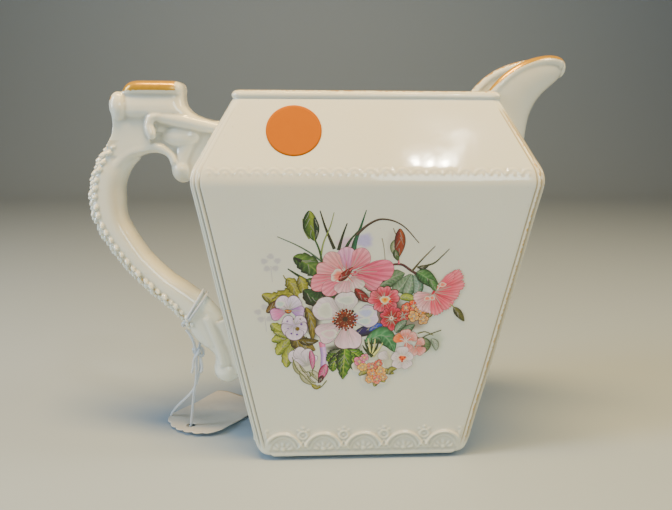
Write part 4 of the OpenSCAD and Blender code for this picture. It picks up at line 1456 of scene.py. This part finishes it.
def color_handle(obj, plain_form, line, out):
    """Gold is left between the scales, mostly low down, and on the leaf at the block's end. Shade is
    painted in: olive between the scales, more so low down, grey in the other hollows, and olive on the inner
    face of the grip, which looks warmer than the rest. plain_form is the handle without scales."""
    p, q = points_of(obj)
    nearest = np.argmin(((p[:, None, ::2] - line[None, ::4, ::2]) ** 2).sum(-1), axis=1) * 4
    off = p - line[nearest]
    rise = (off * out[nearest]).sum(1)
    outer = (rise > 2.0) & (np.abs(off[:, ::2]).max(1) < 9) & (p[:, 2] > 50) & (p[:, 2] < 121)
    stand = np.ones(len(p))
    for i in np.flatnonzero(outer):
        spot, facing, _, _ = plain_form.find_nearest(Vector(p[i]))
        stand[i] = (Vector(p[i]) - spot).dot(facing)
    deep = outer * ramp(-stand, -0.6, -0.15) * ramp(rise, 2.0, 3.4)
    low = ramp(-p[:, 2], -86, -64)
    gilt = deep * (0.3 + 0.25 * low)
    gilt = np.maximum(gilt, 0.8 * ramp(-p[:, 0], 89.6, 90.8) * ramp(p[:, 2], 134.0, 135.6))
    # Painted shade: olive between the scales and grey in the other hollows; below, the grip's inner face gets
    # painted olive shade too.
    olive = np.where(deep > 0.05, -deep * (0.3 + 0.45 * low), 0.36 * hollows(obj))
    inner = ramp(-rise, 0.5, 4.5) * ramp(p[:, 2], 54, 64) * ramp(-p[:, 2], -114, -104)
    inner = inner * ramp(-p[:, 0], 60, 66)
    tone(obj.data, gilt=gilt, line=olive - 0.3 * inner)


def build_handle():
    """The handle as one skin: its plain form first, then the scales."""
    line, out = grip_line()
    heights, outward, inward = np.array(GRIP_REACH[::-1], float).T
    reach, inward = np.interp(line[:, 2], heights, outward), np.interp(line[:, 2], heights, inward)
    length = lengths(line)
    grip = sweep(line, out, reach, 5.0 + 1.2 * ramp(length, 0, 14), GRIP_POWER, inward=inward)
    parts = [grip] + thumb_block() + bracket() + flank(-1) + flank(1) + terminal()
    form = melt(make("handle", *gather(parts), GLAZE), 0.36, 10)
    plain_form = BVHTree.FromPolygons(
        points_of(form)[0].tolist(), [list(f.vertices) for f in form.data.polygons]
    )
    rough = make("scales", *gather(scales(line, out, reach, length)), GLAZE)
    obj = melt(join(form, rough), 0.3, 1)
    color_handle(obj, plain_form, line, out)
    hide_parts("handle_bracket", "handle_thumb_block", "handle_grip", "handle_terminal")
    return obj


# ----------------------------------------------------------------- the gilding


def gild(body, spout, handle, lip):
    """Skins of worn gold on the thumb block, the lip of the spout and the collar's top edge."""
    p, q = points_of(handle)
    top = ramp(p[:, 2], 137.9, 138.6) * (q[:, 2] > -0.35) * ramp(-p[:, 0], 66.6, 69.4)
    block = shell(handle, "block_gilding", np.where(top > 0.02, 0.3 + 0.65 * top, 0), GILDING)
    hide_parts("gilt_thumb_block")

    p, q = points_of(spout)
    line = lip[::3]
    far = np.sqrt(((p[:, None] - line[None]) ** 2).sum(-1)).min(1)
    near_wing = ramp(-far, -3.4, -2.4) * ramp(q[:, 2], 0.25, 0.5)
    far_wing = 0.5 * ramp(-far, -2.8, -1.9) * ramp(q[:, 2], 0.4, 0.7)
    edge = np.where(p[:, 1] < 0.5, near_wing, far_wing) * (p[:, 2] > 138.6)
    spout_gold = shell(spout, "lip_gilding", np.where(edge > 0.02, 0.28 + 0.65 * edge, 0), GILDING)
    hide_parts("gilt_spout_lip")

    p, q = points_of(body)
    top = ramp(p[:, 2], RIM_Z - 0.9, RIM_Z - 0.1) * (q[:, 2] > 0.2)
    rim = shell(body, "rim_gilding", np.where(top > 0.02, 0.2 + 0.34 * top, 0), GILDING)
    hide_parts("gilt_rim")
    return [block, spout_gold, rim]


# --------------------------------------------------- the string and swing tag

STRING = 1.05  # diameter
TWIST = 2.4  # length of one turn of its strands
LUMP = np.array([-69.0, -0.4, 50.0])


def rope(name, line, radius=STRING / 2):
    """A twisted cotton string along a line, as one mesh."""
    step = 0.22
    along = lengths(line)
    at = np.linspace(0, along[-1], int(along[-1] / step) + 2)
    line = np.stack([np.interp(at, along, line[:, k]) for k in range(3)], 1)
    p, f = tube(line, radius, 12, step / TWIST * 2 * math.pi, 3)
    return make(name, p, f, COTTON), line


def tag_surface(u, v):
    """The tag's height at u along and v across it: its end is lifted by the string below."""
    wave = math.sin(0.18 * u + 0.2 * v) ** 2
    return 0.25 + 1.25 * ramp(-u, -22, 2) + 0.35 * ((v - 3) / 14) ** 2 + 0.2 * wave


def build_tag():
    """The paper card: u runs along it from its hole, and v across it."""
    hole, turn = np.array([-70.7, 7.7]), math.radians(57)
    ux, uy = np.array([math.cos(turn), math.sin(turn)]), np.array([-math.sin(turn), math.cos(turn)])
    rows, columns, half_width, long_end, hole_radius = 44, 83, 14.2, 35.6, 1.7
    points = []
    for i in range(rows):
        for j in range(columns):
            v = (j / (columns - 1) * 2 - 1) * half_width
            # The end is bowed, with small scallops along it.
            near = 5.0 - 10.0 * math.sqrt(max(0.0, 1 - (v / 14.35) ** 2)) - 0.85 * abs(math.sin(v * 0.7))
            far = long_end - 2.2 * (abs(v) / half_width) ** 8
            u = near + (far - near) * (i / (rows - 1)) ** 1.15
            points.append((u, v))
    points = np.array(points)
    # The punched hole: points near it are moved out to its edge.
    radius = np.hypot(points[:, 0], points[:, 1])
    faces = grid_faces(rows, columns, False)
    faces = [f for f in faces if np.hypot(*points[f].mean(0)) > hole_radius + 0.05]
    close = (radius < hole_radius + 0.7) & (radius > 0.01)
    points[close] *= (np.maximum(radius[close], hole_radius) / radius[close])[:, None]
    flat = hole + points[:, :1] * ux + points[:, 1:] * uy
    height = np.array([tag_surface(u, v) for u, v in points])
    top = np.column_stack([flat, height + 0.2])
    low = np.column_stack([flat, height - 0.18])
    n = len(top)
    edges = [(a, b) for f in faces for a, b in zip(f, f[1:] + f[:1])]
    used = set(edges)
    rim = [[a, b, b + n, a + n] for a, b in edges if (b, a) not in used]
    faces = [f[::-1] for f in faces] + [[i + n for i in f] for f in faces] + rim
    obj = make("swing_tag_card", np.vstack([low, top]), faces, TAG_PAPER)
    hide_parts("swing_tag")
    return obj


def build_string():
    """The hitch round the grip, the loop down to the tag and back, its knot and its two tails."""
    at = np.array([-65.1, 0, 56.4])
    lean = math.radians(57)
    across = np.array([math.cos(lean), 0, math.sin(lean)])
    along = np.array([math.sin(lean), 0, -math.cos(lean)])
    c, s = squircle(72, 2.7)
    c, s = np.append(c, c[0]), np.append(s, s[0])
    turns = []
    for k in (-1, 1):
        ring = at + along * k * (0.66 + 0.3 * c)[:, None] + across * (6.9 * c)[:, None]
        ring = ring + np.array([0, 6.75, 0]) * s[:, None]
        turns.append(rope(f"hitch_turn_{'ab'[k > 0]}", ring)[0])
    b = np.linspace(0, 2 * math.pi, 40)
    bight = LUMP + np.stack(
        [1.6 * np.cos(b) + 0.2, 1.5 * np.sin(b), 0.9 * np.cos(b) + 0.8 * np.sin(2 * b)], 1
    )
    turns.append(rope("hitch_bight", bight, 0.62)[0])
    hitch = join(*turns)
    hitch.name = "string_hitch_turns"
    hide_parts("string_hitch")

    down = [
        (-69.3, -0.3, 47.0), (-67.8, -0.6, 45.0), (-66.5, -0.9, 42), (-65.9, -0.9, 38.8),
        (-65.6, -0.8, 34.5), (-65.9, -0.5, 29), (-66.6, 0.2, 24), (-67.6, 1.4, 19.6), (-68.6, 3.2, 14),
        (-69.6, 5.3, 8), (-70.5, 7.2, 3.2), (-70.9, 7.7, 1.2), (-71.9, 8.7, 0.58), (-74.6, 11.6, 0.56),
        (-78.2, 15.0, 0.6), (-80.6, 16.9, 1.3), (-80.4, 16.4, 2.8),
    ]
    back = [
        (-78.4, 13.6, 6.2), (-75.4, 9.6, 10.6), (-71.6, 5.2, 15.4), (-68.0, 1.6, 20.4),
        (-66.2, 0.8, 24.5), (-64.7, 0.5, 29.5), (-64.3, 0.4, 34.5), (-64.5, 0.5, 38.8), (-64.2, 0.8, 42),
        (-64.6, 1.0, 45), (-67.4, 0.9, 47.2),
    ]
    path = through(down + back, 10)
    loop, middle = rope("tag_string_loop", path)
    t = np.linspace(0, 2 * math.pi, 70)
    trefoil = [
        0.72 * (np.sin(t) + 2 * np.sin(2 * t)), 0.72 * (np.cos(t) - 2 * np.cos(2 * t)),
        1.5 * -np.sin(3 * t),
    ]
    knot, _ = rope("overhand_knot", np.array([-65.0, -0.2, 37.4]) + np.stack(trefoil, 1), 0.56)
    tails = []
    for name, points in (
        ("tail_left", [(-65.6, -1.4, 37), (-66.6, -1.9, 34.4), (-66.8, -2.0, 32), (-67.6, -1.7, 29.4)]),
        (
            "tail_right",
            [(-64.4, -1.5, 37), (-63.6, -1.9, 34.2), (-63.4, -1.9, 31.6), (-63.9, -1.7, 29.4)],
        ),
    ):
        tails.append(rope(name, through(points, 8), 0.5)[0])
    join(knot, *tails)
    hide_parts("tag_string")
    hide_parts("string_knot")
    return hitch, loop, middle, knot


# ------------------------------------------------------------ the price sticker


def build_sticker():
    """A round paper dot on the shoulder, whose edge lifts a little."""
    middle_x, middle_z, radius = -25.7, 125.0, 9.5
    rings, sides = 12, 72
    slope = math.radians(27.9)
    points = []
    for i in range(rings + 1):
        for j in range(sides):
            a = 2 * math.pi * j / sides
            r = radius * max(i, 0.05) / rings
            x, w = middle_x + r * math.cos(a), r * math.sin(a)
            z = middle_z + w * math.cos(slope)
            lift = 0.05 + 0.05 * ramp(r, 8.2, 9.5) * (1 + math.sin(2 * a + 1))
            y = front_surface(x, z) - lift
            points.append((x, y, z + lift * 0.4))
    faces = grid_faces(rings + 1, sides, True) + [list(range(sides))]
    edge = [(x, y + 0.12, z - 0.05) for x, y, z in points[-sides:]]
    n = len(points)
    faces += [[n - sides + j, n - sides + (j + 1) % sides, n + (j + 1) % sides, n + j] for j in range(sides)]
    obj = make("price_dot", points + edge, faces, DOT_PAPER)
    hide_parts("price_sticker")
    return obj


# ------------------------------------------------------------ camera and light


def add_camera():
    """A camera close to the jug and a little above it, looking down."""
    data = bpy.data.cameras.new("camera")
    data.sensor_width, data.lens = 36.0, 33.64
    data.clip_start, data.clip_end = 0.01, 20
    cam = bpy.data.objects.new("camera", data)
    bpy.context.scene.collection.objects.link(cam)
    cam.location = (-0.0093, -0.23915, 0.1302)
    view = Vector((0.0511, 0.9747, -0.2176)).to_track_quat("-Z", "Y").to_matrix()
    cam.rotation_euler = (view @ Matrix.Rotation(math.radians(0.3), 3, "Z")).to_euler()
    bpy.context.scene.camera = cam


def add_light(name, location, target, size, power, color):
    """A flat lamp that faces its target."""
    data = bpy.data.lights.new(name, "AREA")
    data.shape, data.size, data.size_y, data.energy, data.color = "RECTANGLE", size[0], size[1], power, color
    obj = bpy.data.objects.new(name, data)
    bpy.context.scene.collection.objects.link(obj)
    obj.location = location
    obj.rotation_euler = (Vector(target) - Vector(location)).to_track_quat("-Z", "Y").to_euler()


def add_stage():
    """The floor, which curves up behind the jug, the lamps and the dim room."""
    s = Shader("floor")
    s.feed(s.main, "Base Color", linear(161, 176, 191))
    s.feed(s.main, "Roughness", 0.6)
    depth, rise, half_width, height = 1.1, 0.35, 2.2, 2.2
    turn = np.linspace(0, math.pi / 2, 16)
    curve = [(depth - rise + rise * math.sin(a), rise - rise * math.cos(a)) for a in turn]
    line = [(-1.6, 0.0)] + curve + [(depth, height)]
    points = []
    for y, z in line:
        points += [(side * half_width / MM - BODY_X, y / MM, z / MM) for side in (-1, 1)]
    faces = [[2 * i, 2 * i + 1, 2 * i + 3, 2 * i + 2] for i in range(len(line) - 1)]
    make("floor", points, faces, s.material)
    add_light("warm_top", (-0.03, -0.13, 0.66), (0, 0, 0.12), (0.34, 0.12), 8.4, (1.0, 0.64, 0.2))
    add_light("front_fill", (0.25, -0.95, 0.36), (0, 0, 0.07), (0.3, 0.3), 2.25, (0.8, 1.0, 1.05))
    add_light("left_window", (-0.62, -0.18, 0.34), (-0.04, 0, 0.08), (0.16, 0.5), 4.2, (0.74, 0.88, 1.0))
    add_light("right_lamp", (0.6, -0.1, 0.5), (0, 0, 0.08), (0.16, 0.3), 2.4, (1.0, 0.86, 0.6))
    for i in range(3):
        add_light(
            f"lamp_{i}", (0.152 + 0.024 * i, -0.42, 0.64), (0.03, 0, 0.12), (0.008, 0.008), 0.2,
            (1.0, 0.92, 0.75),
        )
    world = bpy.data.worlds.new("studio")
    world.use_nodes = True
    world.node_tree.nodes["Background"].inputs[0].default_value = linear(190, 196, 204)
    world.node_tree.nodes["Background"].inputs[1].default_value = 0.07
    bpy.context.scene.world = world


def main():
    """Builds the stage and every piece, and gives each piece its body."""
    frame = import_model()
    add_camera()
    hitch, loop, middle, knot = build_string()
    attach(hitch, "jug")
    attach(loop, "tag")
    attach(knot, "tag")
    tag = build_tag()
    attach(tag, "tag")
    path = place(middle)
    length = float(np.linalg.norm(np.diff(path, axis=0), axis=1).sum())
    body = build_body()
    spout, lip = build_spout()
    handle = build_handle()
    gilding = gild(body, spout, handle, lip)
    prints = [paint_front(), paint_back()]
    sticker = build_sticker()
    for obj, name in [
        (body, "glaze"), (spout, "glaze"), (handle, "glaze"), (sticker, "sticker"), (hitch, "string")
    ]:
        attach(obj, "jug")
    for obj, name in [(o, "gilding") for o in gilding] + [(o, "transfer") for o in prints]:
        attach(obj, "jug")
    ring = frame["nodes"]["foot_ring"]
    ring.data.materials.clear()
    ring.data.materials.append(BISCUIT)
    add_stage()


main()
